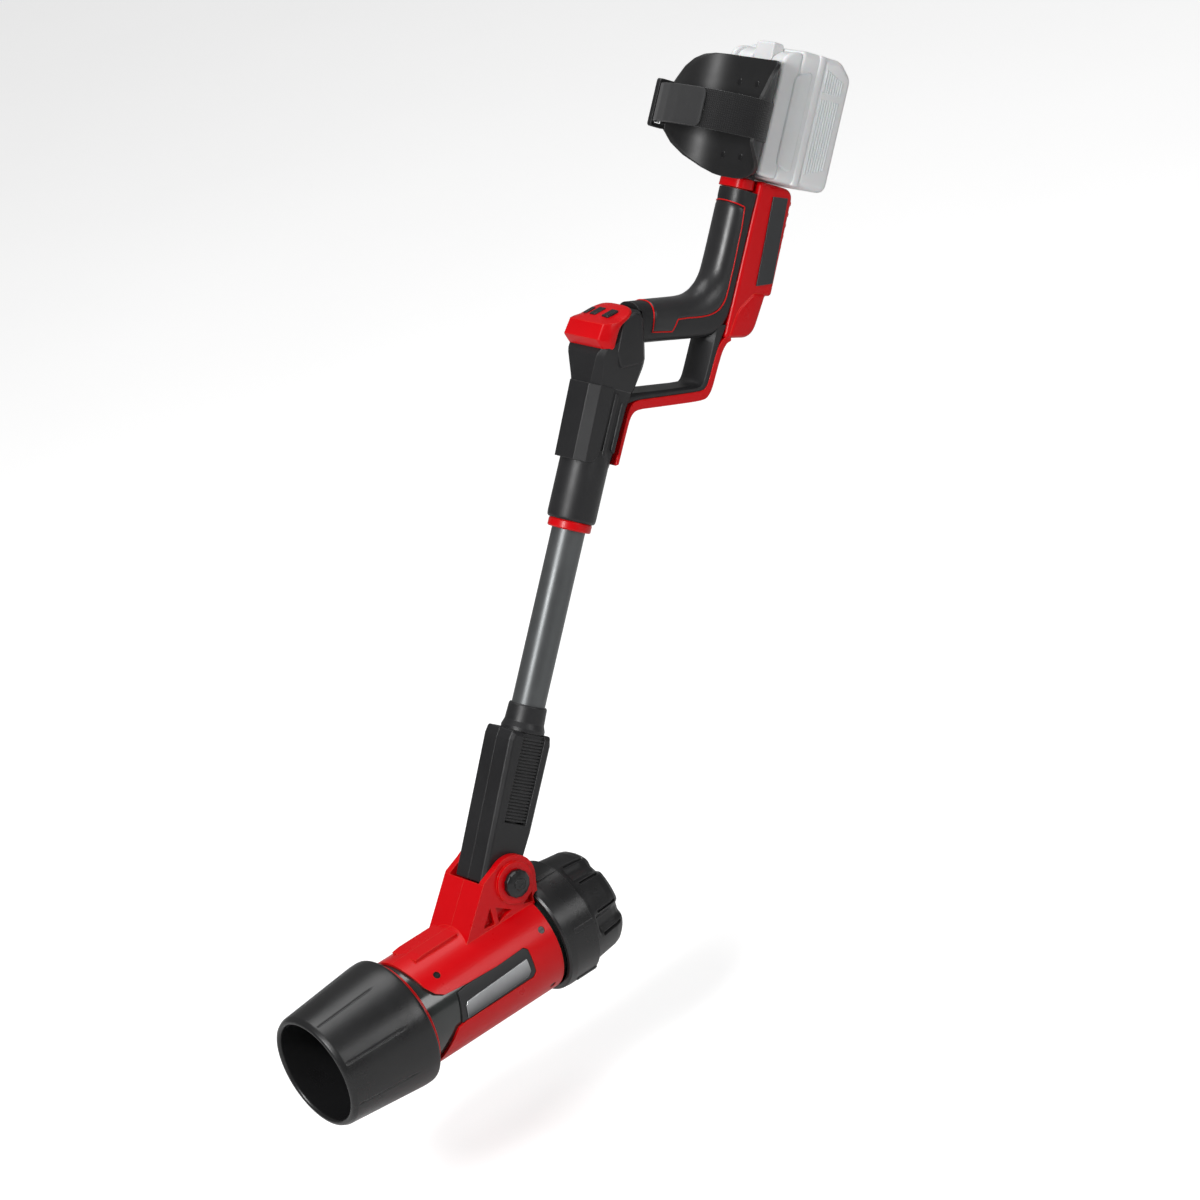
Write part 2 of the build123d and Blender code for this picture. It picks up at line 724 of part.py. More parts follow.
def screw_ways():
    """The holes and head recesses for the handle's screws."""
    ways = []
    for q, p in HANDLE_SCREWS:
        ways.append(cross_rod(1.52, -13, 8.1, q, p))
        ways.append(cross_rod(SCREW_HEAD_R + 0.1, -40, -11.98, q, p))
    return ways


# Cuff, strap and battery


def cuff_neck():
    return block((RED_EDGE, -81.5), (-16, 16), (NECK, NECK + 7))


def ring_sector(bore, outer, low, high):
    """A stretch of tube round the forearm's axis."""
    return Pos(CUFF_AXIS, 0, 0) * tube(outer, bore, low, high)


def cuff_outline(edge):
    """The cuff seen from the front, as left and up, drawn in by edge."""
    points = [
        (15, CUFF_BOTTOM + 2.5), (30, CUFF_BOTTOM + 10),
        (42, 668), (50, 686), (52.5, 700), (52, 722), (48.5, 738),
        (40, 748), (30, CUFF_TOP),
    ]
    right = [(y - edge, p) for y, p in points]
    left = [(-y, p) for y, p in reversed(right)]
    return [*right, *left, (-8, CUFF_BOTTOM), (8, CUFF_BOTTOM)]


def arm_cuff():
    shell = ring_sector(CUFF_BORE, CUFF_BORE + CUFF_WALL, 600, 800)
    front = make_face(Plane.YZ * Polyline(*cuff_outline(0), close=True))
    keep = Pos(-150, 0, 0) * extrude(front, 118)
    strap_slot = block((-70, -40), (40, 60), (STRAP_LOW - 1.5, STRAP_HIGH + 1.5))
    slot = strap_slot & block((-55.4, -51.4), (35, 60), (600, 800))
    far = mirror(strap_slot, about=Plane.XZ) & block((-56, -49), (-60, -35), (600, 800))
    holes = [cross_hole(y, p) for y in (-12, 12) for p in (664, 730)]
    return (shell & keep) - slot - far - holes


def cross_hole(y, p):
    """A screw hole through the cuff's back, along the forward direction."""
    return Pos(-78, y, p) * Rot(0, 90, 0) * Cylinder(2.2, 20)


def cuff_screws():
    places = [(y, p) for y in (-12, 12) for p in (664, 730)]
    head = Rot(0, 90, 0) * Cylinder(3.2, 1.2)
    shank = Rot(0, 90, 0) * Cylinder(2.0, 10)
    return [Pos(-74.3, y, p) * head + Pos(-79.2, y, p) * shank for y, p in places]


def cuff_strap():
    """The webbing from the near slot across the forearm to the far slot, as a band."""
    outer = [
        (-60, 59), (-44, 60.5), (-30, 52), (-20, 34),
        (-15, 12), (-14, -10), (-17, -32), (-25, -50), (-40, -59.5),
        (-50, -60),
    ]
    inner = [
        (-50, -57), (-40, -56.5), (-27.5, -48), (-20, -31),
        (-17, -10), (-18, 11), (-22.8, 32.5), (-32, 49.8),
        (-44, 57.5), (-60, 56),
    ]
    face = make_face(Pos(0, 0, STRAP_LOW) * Polyline(*outer, *inner, close=True))
    return extrude(face, STRAP_HIGH - STRAP_LOW)


def strap_buckle():
    """The rectangular loop at the far wing that the strap turns back through."""
    frame = block((-56, -34), (-65.5, -61), (STRAP_LOW - 4, STRAP_HIGH + 4))
    opening = block((-52, -38), (-70, -55), (STRAP_LOW - 0.5, STRAP_HIGH + 0.5))
    return frame - opening


def battery_dock():
    """The plate behind the cuff with the two channels that hold the battery."""
    plate = block((-90.0, -81.2), (-24, 24), (NECK + 7.1, DOCK_TOP))
    back = Pos(CUFF_AXIS, 0, 0) * rod(CUFF_BORE + CUFF_WALL + 0.05, 600, 800)
    foot = block((-99, -81.5), (-15, 15), (NECK + 7.05, NECK + 12))
    rails = both_sides(block((-100, -89), (22, 28), (656, DOCK_TOP)))
    lips = both_sides(block((-100, -95), (17.6, 23), (656, DOCK_TOP)))
    holes = [cross_hole(y, p) for y in (-12, 12) for p in (664, 730)]
    wings = both_sides(block((-90, -84), (20, 28), (656, DOCK_TOP)))
    return fuse([plate, foot, *rails, *lips, *wings]) - back - holes


def battery_terminal():
    blades = [block((-94.5, -90.1), (y - 0.5, y + 0.5), (664, 682)) for y in (-9, -3, 3, 9)]
    return fuse([block((-91.2, -90.05), (-13, 13), (660, 686)), *blades])


def pack_outline():
    """The battery in side view: square shoulders with small bevels."""
    return [
        (PACK_FRONT, PACK_LOW + 5), (PACK_FRONT, PACK_HIGH - 8),
        (PACK_FRONT - 8, PACK_HIGH), (-150, PACK_HIGH),
        (PACK_REAR, PACK_HIGH - 12), (PACK_REAR, PACK_LOW + 6),
        (PACK_REAR + 6, PACK_LOW), (PACK_FRONT - 4, PACK_LOW),
    ]


def battery_outside():
    return soft_slab(pack_outline(), PACK_HALF, 4)


def battery_housing():
    body = battery_outside() & block((PACK_SPLIT, 0), (-60, 60), (600, 800))
    pocket = block((-100.5, -80), (-31, 31), (600, DOCK_TOP + 3))
    stem = block((-101, -93.4), (-17, 17), (654, DOCK_TOP + 4))
    flange = block((-94.4, -90.6), (-21.4, 21.4), (654, DOCK_TOP + 4))
    slots = [block((-95.5, -90), (y - 1.1, y + 1.1), (600, 700)) for y in (-9, -3, 3, 9)]
    lead_in = block((-92.2, -90), (-14, 14), (600, 688))
    tongue = fuse([stem, flange]) - slots - lead_in
    bay = block((PACK_SPLIT - 1, -104), (-PACK_HALF + 3, PACK_HALF - 3), (PACK_LOW + 4, PACK_HIGH - 14))
    latch_well = block((-101.3, -88.7), (-12.3, 12.3), (DOCK_TOP + 5, 800))
    return ((body - pocket) + tongue) - bay - latch_well


def battery_cover():
    body = battery_outside() & block((-200, PACK_SPLIT - 0.05), (-60, 60), (600, 800))
    bay = block((PACK_REAR + 4, 0), (-PACK_HALF + 3, PACK_HALF - 3), (PACK_LOW + 4, PACK_HIGH - 14))
    ribs = []
    for n in range(PACK_RIBS):
        q = -134.0 - 2.9 * n
        for low, high in ((663, 731), (737, 754)):
            ribs += both_sides(block((q - 0.7, q + 0.7), (PACK_HALF - 1, PACK_HALF + 0.5), (low, high)))
    return fuse([body - bay, *ribs])


def battery_cells():
    rows = (-117.0, -138.0)
    first, pitch = PACK_LOW + 15.0, 19.2
    places = [(q, first + n * pitch) for q in rows for n in range(5)]
    return [cross_rod(CELL_R, -CELL_LENGTH / 2, CELL_LENGTH / 2, q, p) for q, p in places]


def battery_latch():
    body = block((-101, -89), (-12, 12), (DOCK_TOP + 10, PACK_HIGH + 2.5))
    rims = body.edges().group_by(Axis.Z)[-1]
    return chamfer(rims, 1.5)


PARTS = {
    "fan_duct": (FAN, fan_duct),
    "blower_nozzle": (FAN, blower_nozzle),
    "nozzle_ring": (FAN, nozzle_ring),
    "head_shell_left": (FAN, head_shell_left),
    "head_shell_right": (FAN, head_shell_right),
    "head_screws": (FAN, head_screws),
    "side_bezel_left": (FAN, side_bezel_left),
    "side_bezel_right": (FAN, side_bezel_right),
    "side_plate_left": (FAN, side_plate_left),
    "side_plate_right": (FAN, side_plate_right),
    "intake_ring": (FAN, intake_ring),
    "intake_guard": (FAN, intake_guard),
    "fan_impeller": (FAN, fan_impeller),
    "motor_shaft": (FAN, motor_shaft),
    "motor_rotor": (FAN, motor_rotor),
    "motor_stator": (FAN, motor_stator),
    "motor_bearings": (FAN, motor_bearings),
    "motor_pod": (FAN, motor_pod),
    "tail_cone": (FAN, tail_cone),
    "pivot_bolt": (HEAD, pivot_bolt),
    "pivot_nut": (HEAD, pivot_nut),
    "pivot_bush": (HEAD, pivot_bush),
    "pivot_arm_left": (POLE, pivot_arm_left),
    "pivot_arm_right": (POLE, pivot_arm_right),
    "tube_socket": (POLE, tube_socket),
    "arm_collar": (TUBE, arm_collar),
    "pole_tube": (TUBE, pole_tube),
    "collar_ring": (TUBE, collar_ring),
    "power_lead": (TUBE, power_lead),
    "handle_left": (POLE, handle_left),
    "handle_right": (POLE, handle_right),
    "handle_screws": (POLE, handle_screws),
    "grip_cover": (POLE, grip_cover),
    "handle_spine": (POLE, handle_spine),
    "rear_housing": (POLE, rear_housing),
    "vent_grille": (POLE, vent_grille),
    "label_left": (POLE, label_left),
    "label_right": (POLE, label_right),
    "control_front_cover": (POLE, control_front_cover),
    "control_cap": (ROW, control_cap),
    "power_button": (ROW, power_button),
    "speed_button": (ROW, speed_button),
    "power_dome": (ROW, power_dome),
    "speed_dome": (ROW, speed_dome),
    "charge_display": (ROW, charge_display),
    "control_board": (POLE, control_board),
    "cuff_neck": (POLE, cuff_neck),
    "arm_cuff": (POLE, arm_cuff),
    "cuff_screws": (POLE, cuff_screws),
    "cuff_strap": (POLE, cuff_strap),
    "strap_buckle": (POLE, strap_buckle),
    "battery_dock": (POLE, battery_dock),
    "battery_terminal": (POLE, battery_terminal),
    "battery_housing": (POLE, battery_housing),
    "battery_cover": (POLE, battery_cover),
    "battery_cells": (POLE, battery_cells),
    "battery_latch": (POLE, battery_latch),
}


def write_part(name):
    """Places a sub-part in the row frame and writes its STEP file."""
    place, build = PARTS[name]
    made = build()
    solids = made if isinstance(made, list) else made.solids()
    placed = [place * one for one in solids]
    export_step(placed[0] if len(placed) == 1 else Compound(children=placed), f"parts/{name}.step")
    print(name, len(placed))


os.makedirs("parts", exist_ok=True)
for part_name in PARTS:
    write_part(part_name)
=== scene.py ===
import json
import math

import bpy
import numpy as np
from bpy.props import FloatProperty, FloatVectorProperty, IntProperty, PointerProperty
from mathutils import Matrix, Vector


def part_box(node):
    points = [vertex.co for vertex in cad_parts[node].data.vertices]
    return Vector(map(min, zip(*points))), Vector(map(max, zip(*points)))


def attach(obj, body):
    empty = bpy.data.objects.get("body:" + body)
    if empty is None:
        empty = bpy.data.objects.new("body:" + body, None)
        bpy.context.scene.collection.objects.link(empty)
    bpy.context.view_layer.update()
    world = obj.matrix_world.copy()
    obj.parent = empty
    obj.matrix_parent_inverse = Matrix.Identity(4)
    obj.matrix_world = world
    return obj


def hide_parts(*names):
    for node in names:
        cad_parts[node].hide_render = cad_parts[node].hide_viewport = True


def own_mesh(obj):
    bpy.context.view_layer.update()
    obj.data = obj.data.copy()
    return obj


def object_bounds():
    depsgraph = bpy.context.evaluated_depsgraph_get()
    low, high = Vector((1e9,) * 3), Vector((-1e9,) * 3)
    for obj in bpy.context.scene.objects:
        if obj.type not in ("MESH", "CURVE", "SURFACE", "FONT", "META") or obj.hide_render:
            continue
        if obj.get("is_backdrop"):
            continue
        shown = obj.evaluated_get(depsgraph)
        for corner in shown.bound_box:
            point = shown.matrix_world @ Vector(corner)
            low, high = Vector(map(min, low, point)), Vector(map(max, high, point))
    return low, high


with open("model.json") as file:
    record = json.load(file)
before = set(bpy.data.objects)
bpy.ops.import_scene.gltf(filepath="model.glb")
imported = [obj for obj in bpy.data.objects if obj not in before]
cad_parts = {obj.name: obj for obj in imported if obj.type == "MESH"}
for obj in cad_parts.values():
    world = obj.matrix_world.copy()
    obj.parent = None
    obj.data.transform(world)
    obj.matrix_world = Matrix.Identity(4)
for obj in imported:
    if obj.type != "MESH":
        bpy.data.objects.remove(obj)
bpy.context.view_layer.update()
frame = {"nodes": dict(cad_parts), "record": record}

bl_info = {
    "name": "Pole leaf blower",
    "version": (1, 0, 0),
    "blender": (4, 5, 0),
    "location": "View3D > Sidebar > Leaf Blower",
    "description": "Builds the looks of a cordless pole leaf blower round its packed frame",
    "category": "Object",
}

MM = 0.001
LEAN = math.radians(36.0)
BOLT_LOW, BOLT_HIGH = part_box("pivot_bolt")
PIVOT_X, PIVOT_Z = (BOLT_LOW.x + BOLT_HIGH.x) / 2, (BOLT_LOW.z + BOLT_HIGH.z) / 2
RING_LOW, RING_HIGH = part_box("nozzle_ring")
FAN_Z = (RING_LOW.z + RING_HIGH.z) / 2
STRAP_UV = "strap_mm"


# Places: millimetres in the pole's or the fan's own frame, turned into metres in the row frame


def pole_place(q, y, p):
    """Points q forward of, y left of and p up along the pole from the pivot: the two in-plane
    directions are turned back by the pole's lean and moved to the pivot."""
    q, y, p = np.broadcast_arrays(*[np.asarray(a, float) for a in (q, y, p)])
    x = PIVOT_X + MM * (q * math.cos(LEAN) - p * math.sin(LEAN))
    z = PIVOT_Z + MM * (q * math.sin(LEAN) + p * math.cos(LEAN))
    return np.stack([x, MM * y, z], -1)


def fan_place(x, radius, angle):
    """Points round the fan axis: x along it from the pivot, a radius, and an angle in radians up
    from the left side."""
    x, radius, angle = np.broadcast_arrays(*[np.asarray(a, float) for a in (x, radius, angle)])
    y, z = MM * radius * np.cos(angle), FAN_Z + MM * radius * np.sin(angle)
    return np.stack([PIVOT_X + MM * x, y, z], -1)


# Surfaces


def grid_quads(rows, columns, wrap):
    """Four-cornered faces of a grid of rows by columns, the last column joined to the first on wrap."""
    here = np.arange(rows * columns).reshape(rows, columns)
    right = np.roll(here, -1, 1) if wrap else here[:, 1:]
    left = here if wrap else here[:, :-1]
    return np.stack([left[:-1], right[:-1], right[1:], left[1:]], -1).reshape(-1, 4)


def signed_volume(points, quads):
    """Six times the volume within four-cornered faces: above zero when they're turned outwards."""
    a, b, c, d = [points[quads[:, n]] - points.mean(0) for n in range(4)]
    return (np.cross(a, b) * c).sum() + (np.cross(a, c) * d).sum()


def lofted(sections):
    """A closed shell through sections of equal count: a grid joined round each section, with a
    many-sided face at each end, its faces turned outwards."""
    rows, columns, _ = sections.shape
    points = sections.reshape(-1, 3)
    quads = grid_quads(rows, columns, True)
    last = (rows - 1) * columns
    faces = [*quads.tolist(), list(range(columns))[::-1], list(range(last, last + columns))]
    return points, faces if signed_volume(points, quads) > 0 else [face[::-1] for face in faces]


def ringed(grid):
    """A torus-like shell: a grid joined round both ways, its faces turned outwards."""
    rows, columns, _ = grid.shape
    here = np.arange(rows * columns).reshape(rows, columns)
    right, up = np.roll(here, -1, 1), np.roll(here, -1, 0)
    quads = np.stack([here, right, np.roll(up, -1, 1), up], -1).reshape(-1, 4)
    points = grid.reshape(-1, 3)
    return points, (quads if signed_volume(points, quads) > 0 else quads[:, ::-1]).tolist()


def open_sheet(grid):
    """A sheet with free edges from a grid of points."""
    rows, columns, _ = grid.shape
    return grid.reshape(-1, 3), grid_quads(rows, columns, False).tolist()


def rounded(corners, radius, steps=5):
    """A closed outline with its corners eased: each corner becomes a parabola that starts and ends
    at most the radius, or under half an edge, from it."""
    at = np.asarray(corners, float)
    before, after = np.roll(at, 1, 0) - at, np.roll(at, -1, 0) - at
    radius = np.broadcast_to(np.asarray(radius, float), len(at))[:, None]
    near = [v / np.linalg.norm(v, axis=1, keepdims=True) for v in (before, after)]
    cuts = [np.minimum(radius, 0.46 * np.linalg.norm(v, axis=1, keepdims=True)) for v in (before, after)]
    start, end = at + near[0] * cuts[0], at + near[1] * cuts[1]
    t = np.linspace(0, 1, steps)[None, :, None]
    curve = (1 - t) ** 2 * start[:, None] + 2 * t * (1 - t) * at[:, None] + t**2 * end[:, None]
    return curve.reshape(-1, at.shape[1])


def drawn_in(outline, depth):
    """The outline moved inwards by a depth along each corner's own bisector."""
    edge = np.roll(outline, -1, 0) - outline
    area = (outline[:, 0] * np.roll(outline[:, 1], -1) - outline[:, 1] * np.roll(outline[:, 0], -1)).sum()
    edge = edge / np.maximum(np.linalg.norm(edge, axis=1, keepdims=True), 1e-9)
    inward = np.stack([-edge[:, 1], edge[:, 0]], -1) * np.sign(area)
    both = inward + np.roll(inward, 1, 0)
    both = both / np.maximum(np.linalg.norm(both, axis=1, keepdims=True), 1e-9)
    stretch = np.clip((both * inward).sum(1, keepdims=True), 0.5, 1.0)
    return outline + both * depth / stretch


def pillow(corners, radius, low, high, edge, steps=4):
    """A slab between two distances to the left, from the corners of a side outline: its rim turns
    through a quarter circle of the edge radius onto each flat side, and each ring is the corners
    drawn in and then eased by what is left of their radius."""
    turn = np.linspace(0, math.pi / 2, steps)
    depth = np.concatenate([edge * (1 - np.cos(turn[::-1])), edge * (1 - np.cos(turn))])
    level = np.concatenate([low + edge * (1 - np.sin(turn[::-1])), high - edge * (1 - np.sin(turn))])
    corners, radius = np.asarray(corners, float), np.asarray(radius, float)
    rings = [rounded(drawn_in(corners, d), np.maximum(radius - d, 0.2), 6) for d in depth]
    return lofted(np.stack([pole_place(r[:, 0], y, r[:, 1]) for r, y in zip(rings, level)]))


def both_flanks(corners, radius, low, high, edge, steps=4):
    """The same slab on the left and on the right."""
    left = pillow(corners, radius, low, high, edge, steps)
    return [left, pillow(corners, radius, -high, -low, edge, steps)]


def between(inner, outer, share):
    """Two coordinates of the points that lie by each share from one line to another, a row of them
    for each place on the lines."""
    step = outer - inner
    return inner[:, :1] + step[:, :1] * share, inner[:, 1:] + step[:, 1:] * share


def circle(count):
    """Evenly spaced angles round a circle, in a row."""
    return np.linspace(0, 2 * math.pi, count, endpoint=False)[None]


def run_of(line):
    """How far along a line each of its points is."""
    return np.concatenate([[0], np.cumsum(np.linalg.norm(np.diff(line, axis=0), axis=1))])


def along(knots, count):
    """A line of evenly spaced points through knots: the knots' coordinates read at equal steps of
    the run's length, then averaged with their neighbours three times so that corners ease."""
    run = run_of(knots)
    steps = np.linspace(0, run[-1], count)
    line = np.stack([np.interp(steps, run, knots[:, n]) for n in (0, 1)], -1)
    for _ in range(3):
        line[1:-1] = (line[:-2] + 2 * line[1:-1] + line[2:]) / 4
    return line


# Pieces


def linked(name, data):
    """A new object in the scene that shows some data."""
    obj = bpy.data.objects.new(name, data)
    bpy.context.scene.collection.objects.link(obj)
    return obj


def smooth_mesh(name, points, faces):
    """A mesh that is shaded smooth."""
    mesh = bpy.data.meshes.new(name)
    mesh.from_pydata(points.tolist(), [], faces)
    mesh.validate()
    mesh.polygons.foreach_set("use_smooth", np.ones(len(mesh.polygons), bool))
    return mesh


def make_piece(name, shells, slot, stands_for=(), sharp=35.0, body="root", look=None):
    """One object from shells of points and faces, shaded smooth but for edges sharper than an
    angle, with its slot's finish or another look, its body and the CAD nodes that it stands for."""
    points, faces, base = [], [], 0
    for shell_points, shell_faces in shells:
        points.append(shell_points)
        faces += [[n + base for n in face] for face in shell_faces]
        base += len(shell_points)
    mesh = smooth_mesh(name, np.concatenate(points), faces)
    mesh.set_sharp_from_angle(angle=math.radians(sharp))
    mesh.materials.append(finish_of(look or slot))
    obj = linked(name, mesh)
    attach(obj, body)
    if stands_for:
        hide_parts(*stands_for)
    return obj


def walled(obj, thickness):
    """Gives a sheet its wall, behind it."""
    wall = obj.modifiers.new("wall", "SOLIDIFY")
    wall.thickness, wall.offset = thickness * MM, -1.0


def bevelled(obj, width, segments=3, angle=25.0):
    """Rounds a piece's sharp edges."""
    soften = obj.modifiers.new("rounded_edges", "BEVEL")
    soften.width, soften.segments = width * MM, segments
    soften.limit_method, soften.angle_limit = "ANGLE", math.radians(angle)
    soften.harden_normals = True
    return obj


def softened_node(name, width):
    """Rounds the sharp edges of a CAD node with modifiers: its loose triangles are joined, flat
    runs of them are made one face, and the edges between them are bevelled."""
    obj = frame["nodes"][name]
    joined = obj.modifiers.new("joined", "WELD")
    joined.merge_threshold = 0.000002
    flat = obj.modifiers.new("flat_faces", "DECIMATE")
    flat.decimate_type, flat.angle_limit = "DISSOLVE", math.radians(0.5)
    bevelled(obj, width, 2, 28.0).modifiers["rounded_edges"].use_clamp_overlap = False


# Finishes


def wire(tree, kind, sockets=None, **settings):
    """A node with its settings, each of its sockets fed by an output or holding a plain value."""
    made = tree.nodes.new(kind)
    for key, value in settings.items():
        setattr(made, key, value)
    for key, value in (sockets or {}).items():
        if isinstance(value, bpy.types.NodeSocket):
            tree.links.new(value, made.inputs[key])
        else:
            made.inputs[key].default_value = value
    return made


def maths(tree, operation, *values, **settings):
    """What a maths node makes of numbers or outputs."""
    return wire(tree, "ShaderNodeMath", dict(enumerate(values)), operation=operation, **settings).outputs[0]


def object_space(tree):
    """The object's own coordinates."""
    return wire(tree, "ShaderNodeTexCoord").outputs["Object"]


def noise(tree, scale, detail=2.0, roughness=0.5, place=None):
    """Noise of a scale over the object's own coordinates, or over another place."""
    place = object_space(tree) if place is None else place
    sockets = {"Vector": place, "Scale": scale, "Detail": detail, "Roughness": roughness}
    return wire(tree, "ShaderNodeTexNoise", sockets).outputs["Fac"]


def ranged(tree, value, low, high, to_low, to_high):
    """A value carried from one range to another."""
    sockets = {"Value": value, "From Min": low, "From Max": high, "To Min": to_low, "To Max": to_high}
    return wire(tree, "ShaderNodeMapRange", sockets).outputs["Result"]


NOISE_SPAN = (0.3, 0.7)  # where nearly all of a noise's values lie


def edge_light(group, given):
    """Edges: the normal rounded over a small radius, and a mask of how far that differs from the
    flat one, broken up by noise. The mask is used to paint edges paler, partly as handling wear and
    partly as a painted highlight."""
    soft = wire(group, "ShaderNodeBevel", {"Radius": given["Radius"]}, samples=4).outputs["Normal"]
    flat = wire(group, "ShaderNodeNewGeometry").outputs["Normal"]
    dot = wire(group, "ShaderNodeVectorMath", {0: soft, 1: flat}, operation="DOT_PRODUCT").outputs["Value"]
    turned = maths(group, "SUBTRACT", 1.0, dot)
    spread = maths(group, "MULTIPLY", turned, given["Spread"], use_clamp=True)
    uneven = ranged(group, noise(group, 90.0, 3.0), *NOISE_SPAN, 0.55, 1.0)
    return {"Normal": soft, "Mask": maths(group, "MULTIPLY", spread, uneven)}


def moulded_grain(group, given):
    """Moulded grain: noise, raised further where cells are high, and a slow mottling."""
    fine = noise(group, given["Scale"], roughness=0.55)
    cells = wire(group, "ShaderNodeTexVoronoi", {"Vector": object_space(group), "Scale": given["Scale"]})
    height = maths(group, "MULTIPLY_ADD", fine, cells.outputs["Distance"], fine)
    return {"Height": height, "Mottle": noise(group, given["Mottle Scale"], 4.0, 0.6)}


def brushed_lines(group, given):
    """Brushing or drawing marks: coordinates turned to the marks' direction and squeezed along
    it, so that the noise over them is stretched."""
    sockets = {"Vector": object_space(group), "Angle": given["Turn"]}
    turned = wire(group, "ShaderNodeVectorRotate", sockets, rotation_type="Y_AXIS").outputs[0]
    squeezed = wire(group, "ShaderNodeVectorMath", {0: turned, 1: (1.0, 1.0, 0.012)}, operation="MULTIPLY")
    return {"Height": noise(group, given["Scale"], place=squeezed.outputs[0])}


def woven_webbing(group, given):
    """Webbing: two crossed waves over the piece's own UV map, which is in millimetres."""
    place = wire(group, "ShaderNodeUVMap", uv_map=STRAP_UV).outputs["UV"]
    sockets = {"Vector": place, "Scale": given["Threads"], "Distortion": 0.6, "Detail": 1.0}
    waves = [
        wire(group, "ShaderNodeTexWave", sockets, wave_type="BANDS", bands_direction=direction).outputs["Fac"]
        for direction in ("X", "Y")
    ]
    return {"Height": maths(group, "MULTIPLY", *waves)}


# The shared effects: what builds each, and its inputs
EFFECTS = {
    "edge_light": (edge_light, {"Radius": 0.0008, "Spread": 6.0}),
    "moulded_grain": (moulded_grain, {"Scale": 1400.0, "Mottle Scale": 22.0}),
    "brushed_lines": (brushed_lines, {"Scale": 900.0, "Turn": 0.0}),
    "woven_webbing": (woven_webbing, {"Threads": 1.0}),
}


def effect_group(name):
    """An effect's shader group, with named sockets for its inputs and for what it gives."""
    build, inputs = EFFECTS[name]
    group = bpy.data.node_groups.new(name, "ShaderNodeTree")
    for label, value in inputs.items():
        made = group.interface.new_socket(label, in_out="INPUT", socket_type="NodeSocketFloat")
        made.default_value = value
    gives = build(group, wire(group, "NodeGroupInput").outputs)
    for label in gives:
        kind = "NodeSocketVector" if label == "Normal" else "NodeSocketFloat"
        group.interface.new_socket(label, in_out="OUTPUT", socket_type=kind)
    wire(group, "NodeGroupOutput", gives)
    return group


def placed(tree, name, **values):
    """The outputs of an effect in a material, its group built the first time it's asked for."""
    group = bpy.data.node_groups.get(name) or effect_group(name)
    return wire(tree, "ShaderNodeGroup", values, node_tree=group).outputs


def finish(
    name, colour, rough, grain=0.0, grain_scale=1400.0, edge=0.35, edge_colour=None, coat=0.0, metal=0.0,
    mottle=0.12, sheen=0.0, brush=None, specular=0.5, weave=0.0, see_through=0.0, painted_light_ramp=None,
):
    """A finish: its colour is mottled slowly and paler on its edges, partly as handling wear and partly
    as a painted highlight; its roughness follows the mottling, and its normal is the rounded edge's
    under the grain, brushing or weave. A painted light ramp, a painted highlight and shade, darkens
    it towards one height and lightens it towards another."""
    made = bpy.data.materials.new(name)
    made.use_nodes = True
    tree = made.node_tree
    tree.nodes.clear()
    edges = placed(tree, "edge_light", Radius=0.8 * MM)
    grains = placed(tree, "moulded_grain", Scale=grain_scale)
    shade = ranged(tree, grains["Mottle"], *NOISE_SPAN, 1 - mottle, 1 + mottle)
    # The painted light ramp scales the colour by height: painted shade low down and a painted highlight
    # higher up.
    if painted_light_ramp:
        up = wire(tree, "ShaderNodeSeparateXYZ", {0: object_space(tree)}).outputs["Z"]
        shade = maths(tree, "MULTIPLY", shade, ranged(tree, up, *painted_light_ramp))
    mottled = wire(tree, "ShaderNodeVectorMath", {0: colour, "Scale": shade}, operation="SCALE").outputs[0]
    pale = edge_colour or [part + (1 - part) * 0.18 for part in colour]
    # Edges are mixed towards the paler edge colour: partly handling wear, partly a painted highlight.
    edge_wear_and_highlight_at = maths(tree, "MULTIPLY", edges["Mask"], edge)
    edge_wear_and_highlight_mix = wire(tree, "ShaderNodeMix", {0: edge_wear_and_highlight_at, 6: mottled, 7: (*pale, 1.0)}, data_type="RGBA")
    height, normal = grains["Height"], edges["Normal"]
    if brush is not None:
        height = placed(tree, "brushed_lines", Turn=brush)["Height"]
    if weave:
        height = placed(tree, "woven_webbing", Threads=weave)["Height"]
    if grain:
        sockets = {"Strength": 1.0, "Distance": grain * MM, "Height": height, "Normal": normal}
        normal = wire(tree, "ShaderNodeBump", sockets).outputs[0]
    shader = wire(tree, "ShaderNodeBsdfPrincipled", {
        "Base Color": edge_wear_and_highlight_mix.outputs[2],
        "Roughness": ranged(tree, grains["Mottle"], *NOISE_SPAN, rough - 0.05, rough + 0.06),
        "Metallic": metal, "Specular IOR Level": specular, "Sheen Weight": sheen,
        "Coat Weight": coat, "Coat Roughness": 0.12,
        "Subsurface Weight": see_through, "Subsurface Scale": 0.004, "Normal": normal,
    })
    wire(tree, "ShaderNodeOutputMaterial", {"Surface": shader.outputs[0]})
    return made
